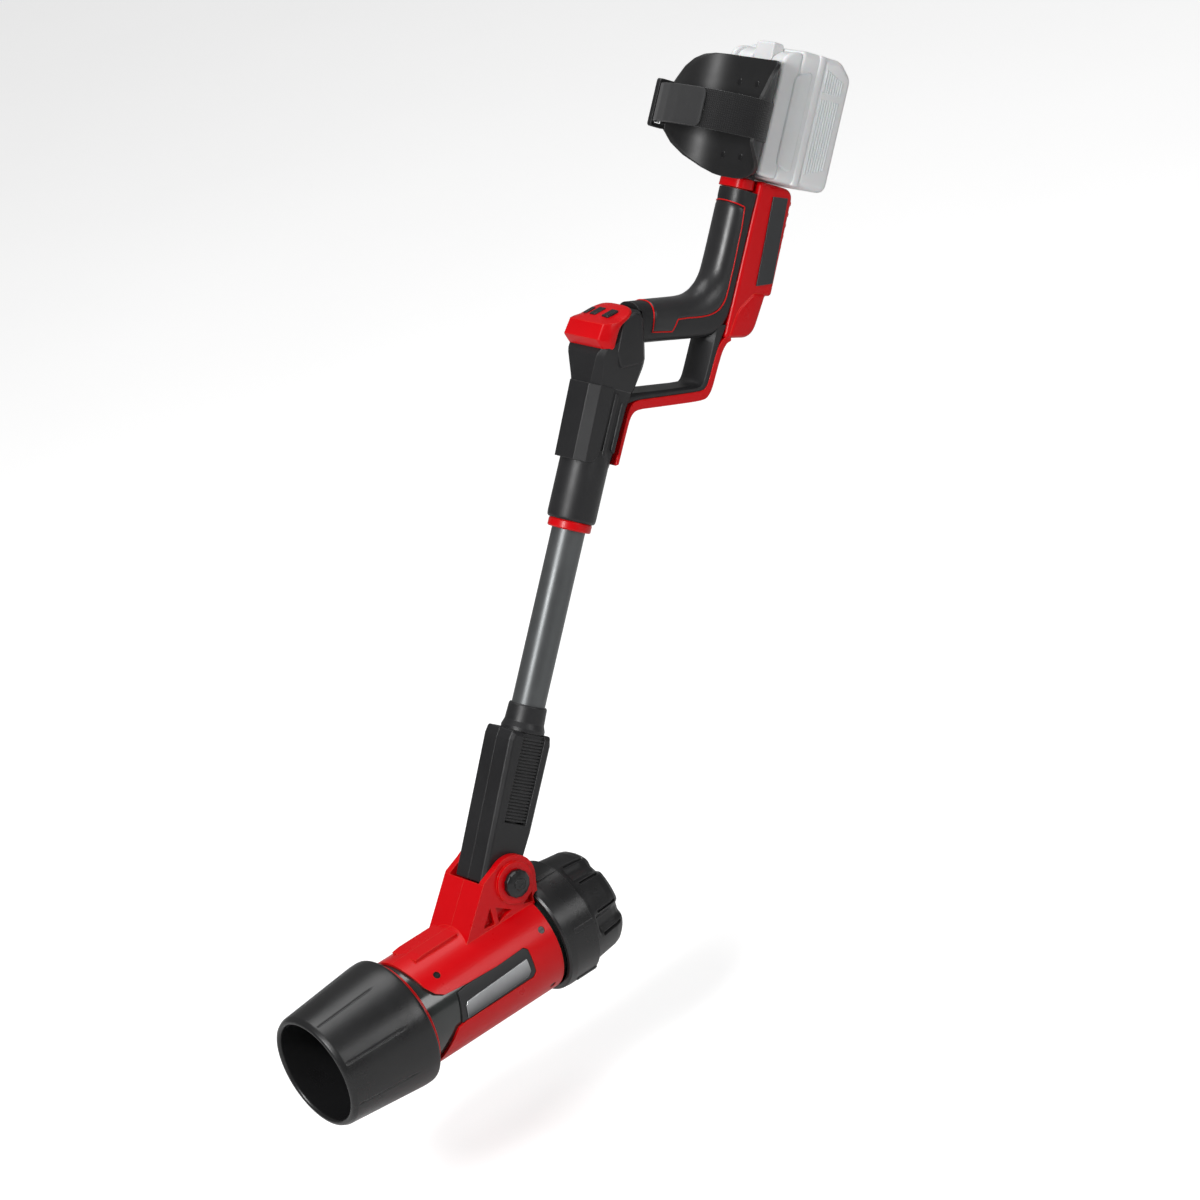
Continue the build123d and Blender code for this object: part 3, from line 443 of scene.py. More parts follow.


# Each finish's edge and edge_colour set how much paler its edges are painted: partly handling wear, partly a
# painted highlight.
FINISHES = {
    "black_housing": dict(
        colour=(0.016, 0.016, 0.017), rough=0.38, grain=0.04, grain_scale=1500.0, edge=0.5, specular=0.36,
    ),
    "red_shell": dict(
        colour=(0.58, 0.0, 0.003), rough=0.30, grain=0.012, grain_scale=900.0, edge=0.55,
        edge_colour=(0.9, 0.10, 0.05), coat=0.06, mottle=0.03, specular=0.22,
    ),
    "black_nozzle": dict(
        colour=(0.012, 0.012, 0.0125), rough=0.30, grain=0.03, grain_scale=1300.0, edge=0.4, specular=0.45,
    ),
    "gloss_duct": dict(colour=(0.018, 0.021, 0.020), rough=0.16, coat=0.6, grain=0.004, edge=0.3),
    "inner_plastic": dict(colour=(0.016, 0.016, 0.017), rough=0.42, grain=0.03, edge=0.4),
    # The silver plate is painted paler at its top and darker at its bottom: a painted highlight and shade.
    "silver_plate": dict(
        colour=(0.34, 0.345, 0.352), rough=0.32, metal=0.85, brush=math.pi / 2, grain=0.03, edge=0.6,
        edge_colour=(0.8, 0.8, 0.82), mottle=0.14, painted_light_ramp=(FAN_Z - 0.0075, FAN_Z + 0.0095, 0.16, 1.5),
    ),
    "label_black": dict(colour=(0.012, 0.013, 0.015), rough=0.4, grain=0.006, coat=0.3, edge=0.5),
    "steel": dict(colour=(0.42, 0.42, 0.44), rough=0.32, metal=1.0, brush=0.0, grain=0.02, edge=0.4),
    "bolt_black": dict(
        colour=(0.006, 0.006, 0.0065), rough=0.30, coat=0.25, grain=0.01, edge=0.12, specular=0.4,
    ),
    "bush": dict(colour=(0.55, 0.40, 0.18), rough=0.4, metal=1.0, grain=0.03, edge=0.3),
    "copper": dict(colour=(0.60, 0.27, 0.12), rough=0.35, metal=1.0, brush=0.0, grain=0.03, edge=0.3),
    "pole_metal": dict(
        colour=(0.105, 0.11, 0.112), rough=0.36, metal=0.55, brush=-LEAN, grain=0.012, edge=0.3, mottle=0.06,
    ),
    "soft_grip": dict(
        colour=(0.017, 0.017, 0.018), rough=0.33, grain=0.02, grain_scale=2200.0, edge=0.3, sheen=0.05,
    ),
    "rubber": dict(colour=(0.03, 0.03, 0.032), rough=0.6, grain=0.03, edge=0.3),
    "button": dict(colour=(0.012, 0.013, 0.015), rough=0.3, grain=0.02, edge=0.6),
    "board": dict(colour=(0.012, 0.13, 0.05), rough=0.35, coat=0.4, grain=0.02, edge=0.3),
    "cuff_plastic": dict(
        colour=(0.012, 0.012, 0.0125), rough=0.44, grain=0.02, grain_scale=1500.0, edge=0.5, specular=0.42,
    ),
    "webbing": dict(
        colour=(0.007, 0.007, 0.0075), rough=0.82, grain=0.35, weave=0.16, edge=0.1, sheen=0.3, specular=0.25,
    ),
    "strap_patch": dict(
        colour=(0.022, 0.022, 0.023), rough=0.62, grain=0.05, edge=0.2, sheen=0.15, specular=0.35,
    ),
    "pack_grey": dict(
        colour=(0.72, 0.725, 0.73), rough=0.42, grain=0.015, edge=0.5, edge_colour=(0.9, 0.9, 0.9),
        see_through=0.12, mottle=0.04,
    ),
    "cell": dict(colour=(0.05, 0.16, 0.36), rough=0.35, coat=0.3, grain=0.01, edge=0.4),
}
MADE = {}
# Slots whose colour is taken from the panel
CHOSEN = {"black_housing": "housing", "red_shell": "shell", "pack_grey": "pack"}


def finish_of(slot):
    """The finish of a material slot, built the first time it's asked for."""
    if slot not in MADE:
        look = dict(FINISHES[slot])
        if slot in CHOSEN:
            look["colour"] = tuple(getattr(bpy.context.scene.blower_finish, CHOSEN[slot]))
        MADE[slot] = finish(slot, **look)
    return MADE[slot]


# CAD nodes whose sharp edges are rounded, with the width in millimetres
SOFTENED = {
    "pivot_arm_left": 1.0, "pivot_arm_right": 1.0, "battery_latch": 1.0,
    "power_button": 0.3, "speed_button": 0.3,
}


def dress_frame_nodes():
    """Gives every CAD node its slot's finish, and rounds the ones with a softened width."""
    for part in frame["record"]["subparts"]:
        held = frame["nodes"][part["node"]].data.materials
        held.clear()
        held.append(finish_of(part["material_slot"]))
    for name, width in SOFTENED.items():
        softened_node(name, width)


# Fan head


def spaced(corners, step):
    """A closed outline cut finely enough that no stretch is longer than a step."""
    ends = np.concatenate([corners, corners[:1]])
    run = run_of(ends)
    at = np.unique(np.concatenate([run[:-1], np.arange(0, run[-1], step)]))
    return np.stack([np.interp(at, run, ends[:, n]) for n in (0, 1)], -1)


def ease(value):
    """A step from 0 to 1 with level ends."""
    value = np.clip(value, 0, 1)
    return value * value * (3 - 2 * value)


# The nozzle's wall, along the fan axis from the pivot and out from it, with what eases each corner
NOZZLE_WALL = (
    (139.2, 57.6), (139.6, 60.9), (148, 61), (227.4, 53.5), (231.4, 51.6), (232.2, 48.8), (230.2, 46.9),
    (222, 47.2), (196, 48), (166, 52), (162, 52), (161, 48.4), (150, 48.4), (149, 55.5), (144, 57.6),
)
NOZZLE_EASED = (1.0, 4.0, 4, 0.8, 1.1, 1.1, 1.5, 4, 4, 2, 0.5, 0.5, 0.5, 1, 1)
GROOVE_START = math.radians(22)
GROOVE_RADIUS = 57
NOZZLE_TAPER = 0.0925


def nozzle_shell(grooves, width, depth):
    """The nozzle: a rounded wall profile carried round the fan axis, with narrow grooves along its
    outside that are cut by a level-ended step across and along each groove."""
    wall = spaced(rounded(NOZZLE_WALL, NOZZLE_EASED, 6), 3.0)
    pitch = 2 * math.pi / grooves
    half = width / 2 / GROOVE_RADIUS
    near = np.array([-3, -1.5, -0.9, -0.45, 0, 0.45, 0.9, 1.5, 3]) * half * 1.2
    fill = np.linspace(near[-1], pitch - near[-1], 12)[1:-1]
    middles = GROOVE_START + np.arange(grooves)[:, None] * pitch
    angle = (middles + np.concatenate([near, fill])[None]).ravel()
    off = np.abs((angle - GROOVE_START + pitch / 2) % pitch - pitch / 2)
    x, radius = wall[:, :1], wall[:, 1:]
    skin = 61.0 - (x - 146) * NOZZLE_TAPER
    outside = ease((radius - skin + 1.2) / 0.8) * (x > 146) * (x < 228)
    lengthwise = ease((x - 165) / 3) * ease((226.5 - x) / 2)
    radius = radius - depth * outside * lengthwise * ease(1.5 - off[None] / half)
    return ringed(fan_place(x, radius, angle[None]))


LOBES = 6
# The guard's outside: how far behind the pivot, and its radius there
GUARD_AT = (50, 53, 62, 78, 84, 87.4, 88.9)
GUARD_RADIUS = (52.4, 52.4, 51.4, 49.4, 47.4, 44.8, 42.4)
MOUTH_RINGS = (12.0, 20.0, 28.0)


def guard_shells():
    """The intake guard: a dome round the fan axis whose radius dips in a bell curve between its
    lobes and in narrow slots, with rings, a hub and spokes across its mouth."""
    x = np.concatenate([np.linspace(-50.2, -80, 34), np.linspace(-80.6, -88.9, 18)])[:, None]
    base = np.interp(-x, GUARD_AT, GUARD_RADIUS)
    pitch = 2 * math.pi / LOBES
    angle = circle(LOBES * 48)
    off = np.abs((angle + pitch / 2) % pitch - pitch / 2)
    dip = 5.4 * np.exp(-((off / math.radians(9.5)) ** 4)) * ease((-55 - x) / 4)
    slot_off = np.abs(np.abs(angle % pitch - pitch / 2) - math.radians(17))
    slots = 3.0 * ease(2.0 - slot_off / math.radians(1.0)) * ease((-60 - x) / 1.5) * ease((84 + x) / 1.5)
    radius = base - dip - slots
    outer = fan_place(x, radius, angle)
    inner = fan_place(x[::-1] * 0.965 - 2.2, radius.min(1)[::-1, None] - 2.4, angle)
    lip = fan_place(-88.8, 37.5, angle)
    shells = [ringed(np.concatenate([outer, lip, inner]))]
    around = circle(72)
    bar = rounded([(-88.6, -1.3), (-85.6, -1.3), (-85.6, 1.3), (-88.6, 1.3)], 0.9, 3)
    bar_x, bar_wide = bar[None, :, 0], bar[None, :, 1]
    for ring in MOUTH_RINGS:
        shells.append(ringed(fan_place(bar_x, ring + bar_wide, around.T)))
    across = np.array([5.0, 20.0, 38.5])[:, None]
    for turn in np.arange(2 * LOBES) * math.pi / LOBES + pitch / 4:
        shells.append(lofted(fan_place(bar_x, across, turn + bar_wide / across)))
    cap = np.array([(-88.9, 0.01), (-88.9, 6.0), (-88.0, 7.2), (-85.3, 7.2), (-85.1, 0.01)])
    shells.append(lofted(fan_place(cap[:, :1], cap[:, 1:], around)))
    return shells


# Handle

# The grip's own lines in the side view: its top and front, and its bottom and back
GRIP_FRONT = np.array([
    (-1, 516.6), (-20, 521.8), (-40, 527.3), (-57, 532.0), (-66, 536.0), (-73, 542.6), (-78.2, 552),
    (-80.8, 563), (-81.5, 580), (-81.5, 610), (-81.5, 640),
])
GRIP_BACK = np.array([
    (-12, 481.5), (-24, 484.8), (-45, 490.4), (-62, 494.9), (-77, 499), (-91, 504), (-100.5, 512),
    (-104.9, 526), (-104.9, 560), (-104.9, 600), (-104.9, 640),
])
GRIP_MIDDLE = np.array([0.5, 0.5, 0.5, 0.5, 0.5, 0.52, 0.56, 0.6, 0.62, 0.62, 0.62])
GRIP_FRONT_BOW = np.array([2.5, 2.5, 2.4, 2.4, 2.3, 2.2, 2.15, 2.1, 2.1, 2.1, 2.1])
GRIP_BACK_BOW = np.array([3.0, 3.0, 3.0, 3.2, 3.6, 4.5, 6.0, 8.0, 9.0, 9.0, 9.0])
SEAM_AT = np.array([0.92, 2.05, 2.3, 3.0, 4.0, 5.0, 6.0, 7.0, 8.0, 9.0, 9.5])
SEAM_DEPTH = np.array([0.70, 0.735, 0.45, 0.44, 0.47, 0.52, 0.58, 0.63, 0.62, 0.58, 0.5])
SEAM_ENDS = (0.92, 9.5)
GRIP_HALF = 17.6


def knots_at(values, u):
    """Values read between knots on a smooth curve: each is averaged over a short stretch of u."""
    spread = np.linspace(-0.35, 0.35, 9)
    steps = np.arange(len(values))
    if values.ndim == 1:
        return np.mean([np.interp(u + d, steps, values) for d in spread], 0)
    return np.stack([knots_at(values[:, n], u) for n in range(values.shape[1])], -1)


def bowed(value, power):
    """The size of a value raised to a power, with the value's own sign."""
    return np.sign(value) * np.abs(value) ** power


def grip_surface(u, turn, proud):
    """The grip at a run of places u and angles: across each place the section is a superellipse
    between the front line and the back line, with its own bow for the front half and for the
    back half, moved outwards by a distance along its normal. Returns points and normals."""
    front, back = knots_at(GRIP_FRONT, u), knots_at(GRIP_BACK, u)
    middle, bow_front, bow_back = [knots_at(v, u) for v in (GRIP_MIDDLE, GRIP_FRONT_BOW, GRIP_BACK_BOW)]
    span = np.linalg.norm(front - back, axis=-1)
    towards = (front - back) / span[..., None]
    centre = front + (back - front) * middle[..., None]
    c, s = np.cos(turn), np.sin(turn)
    reach = np.where(c > 0, middle * span, (1 - middle) * span)
    bow = np.where(c > 0, bow_front, bow_back)
    a, b = bowed(c, 2 / bow), bowed(s, 2 / bow)
    slope_a, slope_b = bowed(a, bow - 1) / reach, bowed(b, bow - 1) / GRIP_HALF
    size = np.maximum(np.hypot(slope_a, slope_b), 1e-9)
    slope_a, slope_b = slope_a / size, slope_b / size
    plane = centre + towards * (a * reach + proud * slope_a)[..., None]
    points = pole_place(plane[..., 0], b * GRIP_HALF + proud * slope_b, plane[..., 1])
    tip = towards * slope_a[..., None]
    normal = pole_place(tip[..., 0], slope_b, tip[..., 1]) - pole_place(0.0, 0.0, 0.0)
    return points, normal / np.linalg.norm(normal, axis=-1, keepdims=True)


def seam_turn(u):
    """The angle at which the soft cover ends: the superellipse's angle at the seam's depth."""
    depth = np.interp(u, SEAM_AT, SEAM_DEPTH)
    middle = knots_at(GRIP_MIDDLE, u)
    share = np.where(depth < middle, (middle - depth) / middle, (middle - depth) / (1 - middle))
    bow = np.where(share > 0, knots_at(GRIP_FRONT_BOW, u), knots_at(GRIP_BACK_BOW, u))
    return np.arccos(bowed(share, bow / 2))


def grip_frame_shell():
    """The hard frame of the bar and post, closed at both ends."""
    u = np.linspace(0, 10, 120)[:, None]
    turn = circle(72)
    proud = 0.5 * ease((u - 9.56) / 0.05)
    return lofted(grip_surface(u + 0 * turn, turn + 0 * u, proud + 0 * turn)[0])


def seam_places():
    """Places along the seam, close together where it steps down and up."""
    return np.unique(np.concatenate([np.linspace(*SEAM_ENDS, 90), np.linspace(2.0, 2.35, 10)]))


def soft_cover_grid():
    """The soft cover: the grip's surface between the seams, a little proud and sinking at its rim."""
    u = seam_places()[:, None]
    share = np.linspace(-1, 1, 49)[None]
    share = bowed(share, 0.8)
    to_end = np.minimum(u - SEAM_ENDS[0], SEAM_ENDS[1] - u) / 0.06
    rim = np.minimum((1 - np.abs(share)) / 0.045, to_end)
    proud = 0.75 * np.sqrt(np.clip(rim, 0, 1)) - 0.1
    return open_sheet(grip_surface(u + 0 * share, share * seam_turn(u), proud)[0])


def seam_line():
    """The closed line of the seam: up the left edge, across the top end, down the right edge and
    across the lower end, with the surface's normals."""
    u = seam_places()
    edge = seam_turn(u)
    across = np.linspace(1, -1, 26)[1:-1]
    places = np.concatenate([u, 0 * across + u[-1], u[::-1], 0 * across + u[0]])
    turns = np.concatenate([edge, across * edge[-1], -edge[::-1], -across * edge[0]])
    return grip_surface(places, turns, 0.3 + 0 * places)


def bead_on(line, normals, radius):
    """A round bead on a surface: a circle whose axes are the surface's normal and the direction
    square to both the normal and the closed line."""
    ahead = np.roll(line, -1, 0) - np.roll(line, 1, 0)
    across = np.cross(ahead, normals)
    across = across / np.linalg.norm(across, axis=1, keepdims=True)
    t = circle(8)[..., None]
    return ringed(line[:, None] + radius * (np.cos(t) * normals[:, None] + np.sin(t) * across[:, None]))


def octagon(front, rear, half, front_cut, rear_cut):
    """Corners of a rectangle across the pole whose front and rear corners are cut off, each a
    number or a run of numbers."""
    given = [np.asarray(value, float) for value in (front, rear, half, front_cut, rear_cut)]
    front, rear, half, f, r = np.broadcast_arrays(*given)
    q = np.stack([front - f, front, front, front - f, rear + r, rear, rear, rear + r], -1)
    y = np.stack([half, half - f, f - half, -half, -half, r - half, half - r, half], -1)
    return q, y


def tower_shells():
    """The control column: a round barrel, a cut-cornered body above it and the block that flares
    out under the cap, each a run of sections up the pole."""
    turn = circle(64)
    level = np.array([319.0, 319.6, 321, 324, 350, 372, 384])[:, None]
    radius = np.array([19.6, 20.8, 21.5, 21.8, 21.8, 21.8, 20.0])[:, None]
    barrel = pole_place(5.8 + radius * np.cos(turn), radius * np.sin(turn), level)
    level = np.array([340, 372, 400, 425, 436, 446.0])[:, None]
    q, y = octagon(
        [20, 24, 25, 25, 26, 26], [-11, -15.2, -16, -16, -17.5, -18.5], [14, 18.4, 19.2, 19.4, 19.6, 19.6], 6,
        [9, 9, 7, 6, 6, 6],
    )
    body = pole_place(q, y, level)
    level = np.array([439.5, 444, 463, 467, 471.6, 474, 480, 493, 505.5, 511.5])[:, None]
    q, y = octagon(
        [30.4, 31.2, 35.6, 35.4, 33.6, 30.0, 22.0, 22.0, 6.4, 0.0],
        [-18.6, -19.5, -21, -21, -20.4, -19.8, -18.4, -13.5, -9, -7.5],
        [20.3, 21.4, 25.2, 26.0, 26.6, 26.4, 26.2, 26.0, 24.6, 19.0],
        [7, 7, 5.5, 5, 4, 4, 3, 3, 3, 3], [7, 7.4, 8.5, 9, 9, 9, 9.4, 9, 7, 6],
    )
    return [lofted(barrel), lofted(body), lofted(pole_place(q, y, level))]


# The control cap's corners on its left, front to back, in the world's axes: the rim of its top,
# the widest line below the rim, and its foot
CAP_RIM = (
    (81.2, 23.6, 36.3), (74.2, 27.8, 34.3), (66.5, 28.6, 32.4),
    (52, 26.8, 33.6), (43.5, 16.5, 35.6),
)
CAP_WIDEST = (
    (90.7, 24.2, 25.4), (81.6, 28.4, 19.8), (68.0, 28.9, 29.6),
    (51.4, 27.2, 31.6), (42.6, 16.6, 33.4),
)
CAP_FOOT = (
    (88.4, 23.8, 15.8), (79.6, 27.6, 11.2), (67.6, 28.3, 27.8),
    (51.8, 26.6, 30.2), (43.2, 16.2, 32.2),
)


def cap_ring(corners, radius, grow=0.0, drop=0.0):
    """One closed ring of the cap from its left corners and their mirror image, each eased."""
    left = np.array(corners, float)
    left[:, 1] += grow
    left[:, 0] += grow * np.sign(left[:, 0] - 62)
    left[:, 2] -= drop
    both = np.concatenate([left, left[::-1] * (1, -1, 1)])
    return rounded(both, [*radius, *radius[::-1]], 6)


def control_cap_shell():
    """The red cap: rings from the middle of its crowned top out over a bevelled rim, down to the
    widest line, in to the foot and closed below."""
    radius = (2.2, 2.6, 7, 9, 13)
    rim, widest = cap_ring(CAP_RIM, radius, -1.1), cap_ring(CAP_WIDEST, radius)
    foot = cap_ring(CAP_FOOT, radius)
    top, low = np.array([62.0, 0.0, 36.5]), np.array([64.0, 0.0, 24.0])
    rings = [top + (rim - top) * (share, share, share**2.2) for share in (0.01, 0.35, 0.6, 0.8, 0.93)]
    rings += [rim, cap_ring(CAP_RIM, radius, -0.3, 0.3), cap_ring(CAP_RIM, radius, 0.0, 1.0)]
    rings += [widest + (0, 0, 0.7), widest - (0, 0, 0.7), foot + (0, 0, 0.6), foot * (1, 0.97, 1)]
    rings += [low + (foot - low) * 0.6, low + (foot - low) * 0.01]
    return lofted(np.stack(rings) * MM)


def flank_facet_shells():
    """The raised six-sided facet under the cap on each side of the column's head."""
    corners = [(20.4, 499.5), (8.6, 509.0), (0.6, 507.5), (-13.4, 467.5), (10.6, 458.2), (18.2, 470.0)]
    return both_flanks(corners, (1.6, 1.6, 3.0, 5.0, 1.6, 1.6), 22.0, 27.2, 1.6)


def column_rib_shells():
    """Two long ribs on each side of the column, behind the front cover."""
    shells = []
    for q, low, high in ((2.6, 378, 437), (-6.4, 384, 430)):
        corners = [(q - 2.2, low), (q + 2.2, low + 2), (q + 2.2, high), (q - 2.2, high - 2)]
        shells += both_flanks(corners, 1.8, 17.0, 20.7, 1.0)
    return shells


def front_cover_shell():
    """The front cover: cut-cornered sections whose rear edge runs round a quarter circle at the
    cover's foot."""
    level = np.concatenate([np.linspace(372, 385, 9), [400, 420, 439.9]])[:, None]
    front, half = [np.interp(level[:, 0], [372, 440], ends) for ends in ([29.8, 31.6], [20.9, 21.3])]
    q, y = octagon(front, 8.2, half, 8, 0.6)
    lift = np.clip((385 - level) / 13, 0, 1)
    q = np.maximum(q, 8.2 + 11.5 * (1 - np.sqrt(1 - lift**2)))
    return lofted(pole_place(q, y, level))


# Lines in the side view, forward of the pole's axis and up it: the loop's edge and its outer side
LOOP_INNER = np.array([
    (-10, 437.2), (-31.5, 443.2), (-60, 451.2), (-83, 457.8), (-89.2, 460.8), (-91.4, 466), (-91.6, 480),
    (-91.2, 500), (-89.5, 516),
])
LOOP_OUTER = np.array([
    (-10, 427.5), (-22, 434.6), (-60, 445.8), (-90, 454.6), (-96.3, 457.6), (-98.7, 463), (-99.4, 480),
    (-100.6, 498), (-104.8, 520),
])
LOOP_FACE = np.array([14.5, 14.5, 14.0, 12.5, 9.0, 6.2, 6.0, 7.0, 14.0])


def loop_shell():
    """The loop's lower bar and rear web: six-cornered sections from the loop's edge, narrow there
    and flaring to full width, to the red band."""
    u = np.linspace(0, 8, 72)
    inner, outer, face = knots_at(LOOP_INNER, u), knots_at(LOOP_OUTER, u), knots_at(LOOP_FACE, u)
    full = 0 * u + 16.8
    half = np.stack([face, full, full, -full, -full, -face], -1)
    q, p = between(inner, outer, np.array([0, 0.42, 1, 1, 0.42, 0]))
    return lofted(pole_place(q, half, p))


SPINE_INNER = np.array([
    (-16.0, 372), (-16.0, 398), (-16.3, 424), (-21.0, 434.0), (-50, 442.5), (-89, 454.1), (-96.3, 457.4),
    (-98.8, 463), (-99.5, 480), (-100.6, 497), (-104.6, 505.5), (-112, 510),
])
SPINE_OUTER = np.array([
    (-19.2, 374), (-19.6, 398), (-20.2, 419), (-25.0, 426.4), (-50, 433.6), (-92, 446.0), (-101.2, 450.2),
    (-104.8, 458.8), (-105.6, 480), (-106.6, 494), (-109.5, 502), (-114, 505.4),
])


def spine_shell():
    """The red band round the outside of the loop: eased rectangles between its inner and outer
    lines."""
    u = np.linspace(0, 11, 110)
    inner, outer = knots_at(SPINE_INNER, u), knots_at(SPINE_OUTER, u)
    corner = rounded([(0, -17.2), (1, -17.2), (1, 17.2), (0, 17.2)], [0.3, 0.45, 0.45, 0.3], 5)
    q, p = between(inner, outer, corner[:, 0])
    return lofted(pole_place(q, corner[:, 1], p))


REAR_OUTLINE = (
    (-104.6, 648.2), (-104.6, 505.5), (-118, 508.5), (-130, 511.0), (-136.4, 519), (-139.5, 551),
    (-146.4, 551.5), (-144.6, 642.5), (-139, 647.8),
)


def rear_housing_shells():
    """The red rear housing: a slab with an eased rim, and the fuller box below its side plates."""
    body = pillow(REAR_OUTLINE, [4, 4, 6, 8, 8, 4, 4, 5, 5], -19.2, 19.2, 3.4, 6)
    box = [
        (-107.6, 507.6), (-118, 509.8), (-129, 511.8), (-135.0, 519.4), (-138.6, 552.8), (-124.8, 551.2),
        (-110.5, 533),
    ]
    return [body, *both_flanks(box, [4, 4, 7, 7, 3.2, 3.2, 8], 15.0, 20.3, 2.6, 5)]


def vent_rib_shells(count):
    """The scalloped ribs up the housing's back: each is a short rounded bar."""
    shells = []
    for low in np.linspace(553.5, 632.5, count):
        corners = [(-141, low), (-149.4, low + 0.6), (-149.2, low + 6.2), (-141, low + 7)]
        shells.append(pillow(corners, 2.6, -14.0, 14.0, 1.6, 4))
    return shells


def bolt_shells():
    """The pivot bolt: a domed head turned round the pivot with twelve shallow flats on its rim, a
    raised middle disc, and its shank."""
    turn = circle(96)

    def lathe(radius, y, flats=0.0):
        radius, y = np.asarray(radius, float)[:, None], np.asarray(y, float)[:, None]
        radius = radius * (1 - flats * (radius > 10) * np.abs(np.sin(6 * turn)))
        x, z = radius * np.cos(turn), radius * np.sin(turn)
        grid = np.stack(np.broadcast_arrays(PIVOT_X + MM * x, MM * y, PIVOT_Z + MM * z), -1)
        return lofted(grid)

    head = lathe(
        [12.2, 13.0, 13.0, 12.6, 11.6, 11.0, 10.2, 7.0, 6.2, 6.0, 0.02],
        [31.0, 31.6, 34.2, 35.2, 35.9, 36.0, 36.3, 37.2, 37.3, 37.0, 37.0], 0.035,
    )
    disc = lathe([5.2, 5.2, 4.8, 2.4, 2.2, 0.02], [35.0, 37.6, 38.0, 38.0, 37.4, 37.4])
    return [head, disc, lathe([0.02, 5.0, 5.0, 0.02], [-37.0, -36.6, 32.0, 32.0])]


# Cuff, strap and battery

# The cuff's half-width along its own curve, from its foot to its top up the pole
CUFF_EDGE_P = np.array([645, 646, 649.8, 656.8, 665, 674.5, 690, 715, 724, 735, 743, 749, 752, 753])
CUFF_EDGE_D = np.array([9.0, 20.0, 35.0, 53.0, 66.0, 74.5, 76.0, 76.0, 72.5, 68.0, 62.0, 54.0, 44.0, 32.0])
CUFF_FLAT, CUFF_TURN, CUFF_MIDDLE = 17.0, 42.0, -38.0


def cuff_grid():
    """The cuff's inner sheet: its section is flat behind the arm and turns forward through most
    of a quarter circle on each side, out to a half-width that changes up the pole."""
    level = 645 + 108 * (1 - np.cos(math.pi * np.linspace(0, 1, 61))) / 2
    half = np.interp(level, CUFF_EDGE_P, CUFF_EDGE_D)[:, None]
    t = np.linspace(-1, 1, 91)[None]
    reach = np.abs(half * t)
    angle = np.maximum(reach - CUFF_FLAT, 0) / CUFF_TURN
    radius = CUFF_TURN + 1.2 * ease((np.abs(t) - 0.9) / 0.1) ** 2 * ease(angle)
    q = CUFF_MIDDLE - radius * np.cos(angle)
    y = np.sign(t) * (np.minimum(reach, CUFF_FLAT) + radius * np.sin(angle))
    return open_sheet(pole_place(q, y, level[:, None]))


# Lines across the pole: forward of its axis, and to the left
STRAP_PATH = np.array([
    (-78.5, 38.0), (-75.6, 43.8), (-71.2, 49.6), (-65.4, 55.0), (-57.6, 59.6), (-50.4, 62.0), (-44.0, 61.6),
    (-36.8, 57.4), (-28.8, 48.8), (-22.2, 37.4), (-17.6, 22.6), (-15.6, 8.0), (-15.4, -8.0), (-17.6, -24.0),
    (-22.2, -38.0), (-28.5, -49.0), (-34.4, -56.0), (-39.0, -60.2),
])
PATCH_PATH = np.array([
    (-40.4, -62.4), (-38.6, -64.4), (-35.0, -62.4), (-31.0, -57.4), (-25.6, -50.4), (-19.6, -39.5),
    (-15.0, -25.0), (-12.8, -8.6), (-13.0, 8.0), (-14.6, 20.5), (-15.4, 24.0),
])


def band(path, low, high, thick, count, end_round=0.0):
    """A flat band carried along a path across the pole: its section is an eased strip from low to
    high, its end drawn in along a quarter circle when it's rounded. Also gives each corner's
    place along and across the band in millimetres."""
    line = along(path, count)
    ahead = np.gradient(line, axis=0)
    ahead /= np.linalg.norm(ahead, axis=1, keepdims=True)
    out = np.stack([-ahead[:, 1], ahead[:, 0]], -1)
    run = run_of(line)
    half = np.full(count, (high - low) / 2)
    if end_round:
        near = np.clip((end_round - (run[-1] - run)) / end_round, 0, 1)
        half = half - end_round * (1 - np.sqrt(1 - near**2)) * 0.98
    strip = rounded([(-1, -1), (1, -1), (1, 1), (-1, 1)], 0.9, 4)
    q, y = between(line, line + out, strip[:, 0] * thick / 2)
    level = (low + high) / 2 + np.sign(strip[:, 1]) * (half[:, None] - thick / 2) + strip[:, 1] * thick / 2
    uv = np.stack([run[:, None] + 0 * level, level], -1).reshape(-1, 2)
    return lofted(pole_place(q, y, level)), uv


def give_uv(obj, values):
    """Puts each vertex's place, in millimetres, into the piece's own UV map."""
    layer = obj.data.uv_layers.new(name=STRAP_UV)
    corner = np.zeros(len(obj.data.loops), np.int32)
    obj.data.loops.foreach_get("vertex_index", corner)
    layer.data.foreach_set("uv", values[corner].astype(np.float32).ravel())


def buckle_shell(low, high):
    """The buckle: an eased square section carried round a rectangle with eased corners."""
    low, high = low - 4.2, high + 4.2
    loop = spaced(rounded([(-49, low), (-31, low), (-31, high), (-49, high)], 3.0, 6), 4.0)
    sides = rounded([(0, -65.6), (1, -65.6), (1, -60.4), (0, -60.4)], 0.25, 4)
    q, p = between(loop, drawn_in(loop, 3.8), sides[:, 0])
    return ringed(pole_place(q, sides[:, 1], p))


def neck_shell():
    """The red neck where the post meets the cuff: superellipse sections up the pole."""
    turn = circle(64)
    a, b = bowed(np.cos(turn), 0.7), bowed(np.sin(turn), 0.7)
    level = np.array([630.0, 637.4, 638.0, 643, 646.6, 647.0])[:, None]
    size = np.array([8.0, 8.6, 11.9, 11.8, 11.6, 11.2])[:, None]
    return lofted(pole_place(-93.0 + size * a, (size + 4.6) * b, level))


def pack_side(front, rear, foot=650.0):
    """Corners of the battery's side outline between two places along it, clockwise from its front
    foot: the pack's top slopes down at its back."""
    top = np.interp([-rear, -front], [86, 99, 150, 165], [766, 768, 768, 755])
    corners = [(front, foot), (front, top[1])]
    if rear < -150:
        return corners + [(-150.0, 768.0), (rear, top[0]), (rear, foot + 5), (rear + 5, foot)]
    return corners + [(rear, top[0]), (rear, foot)]


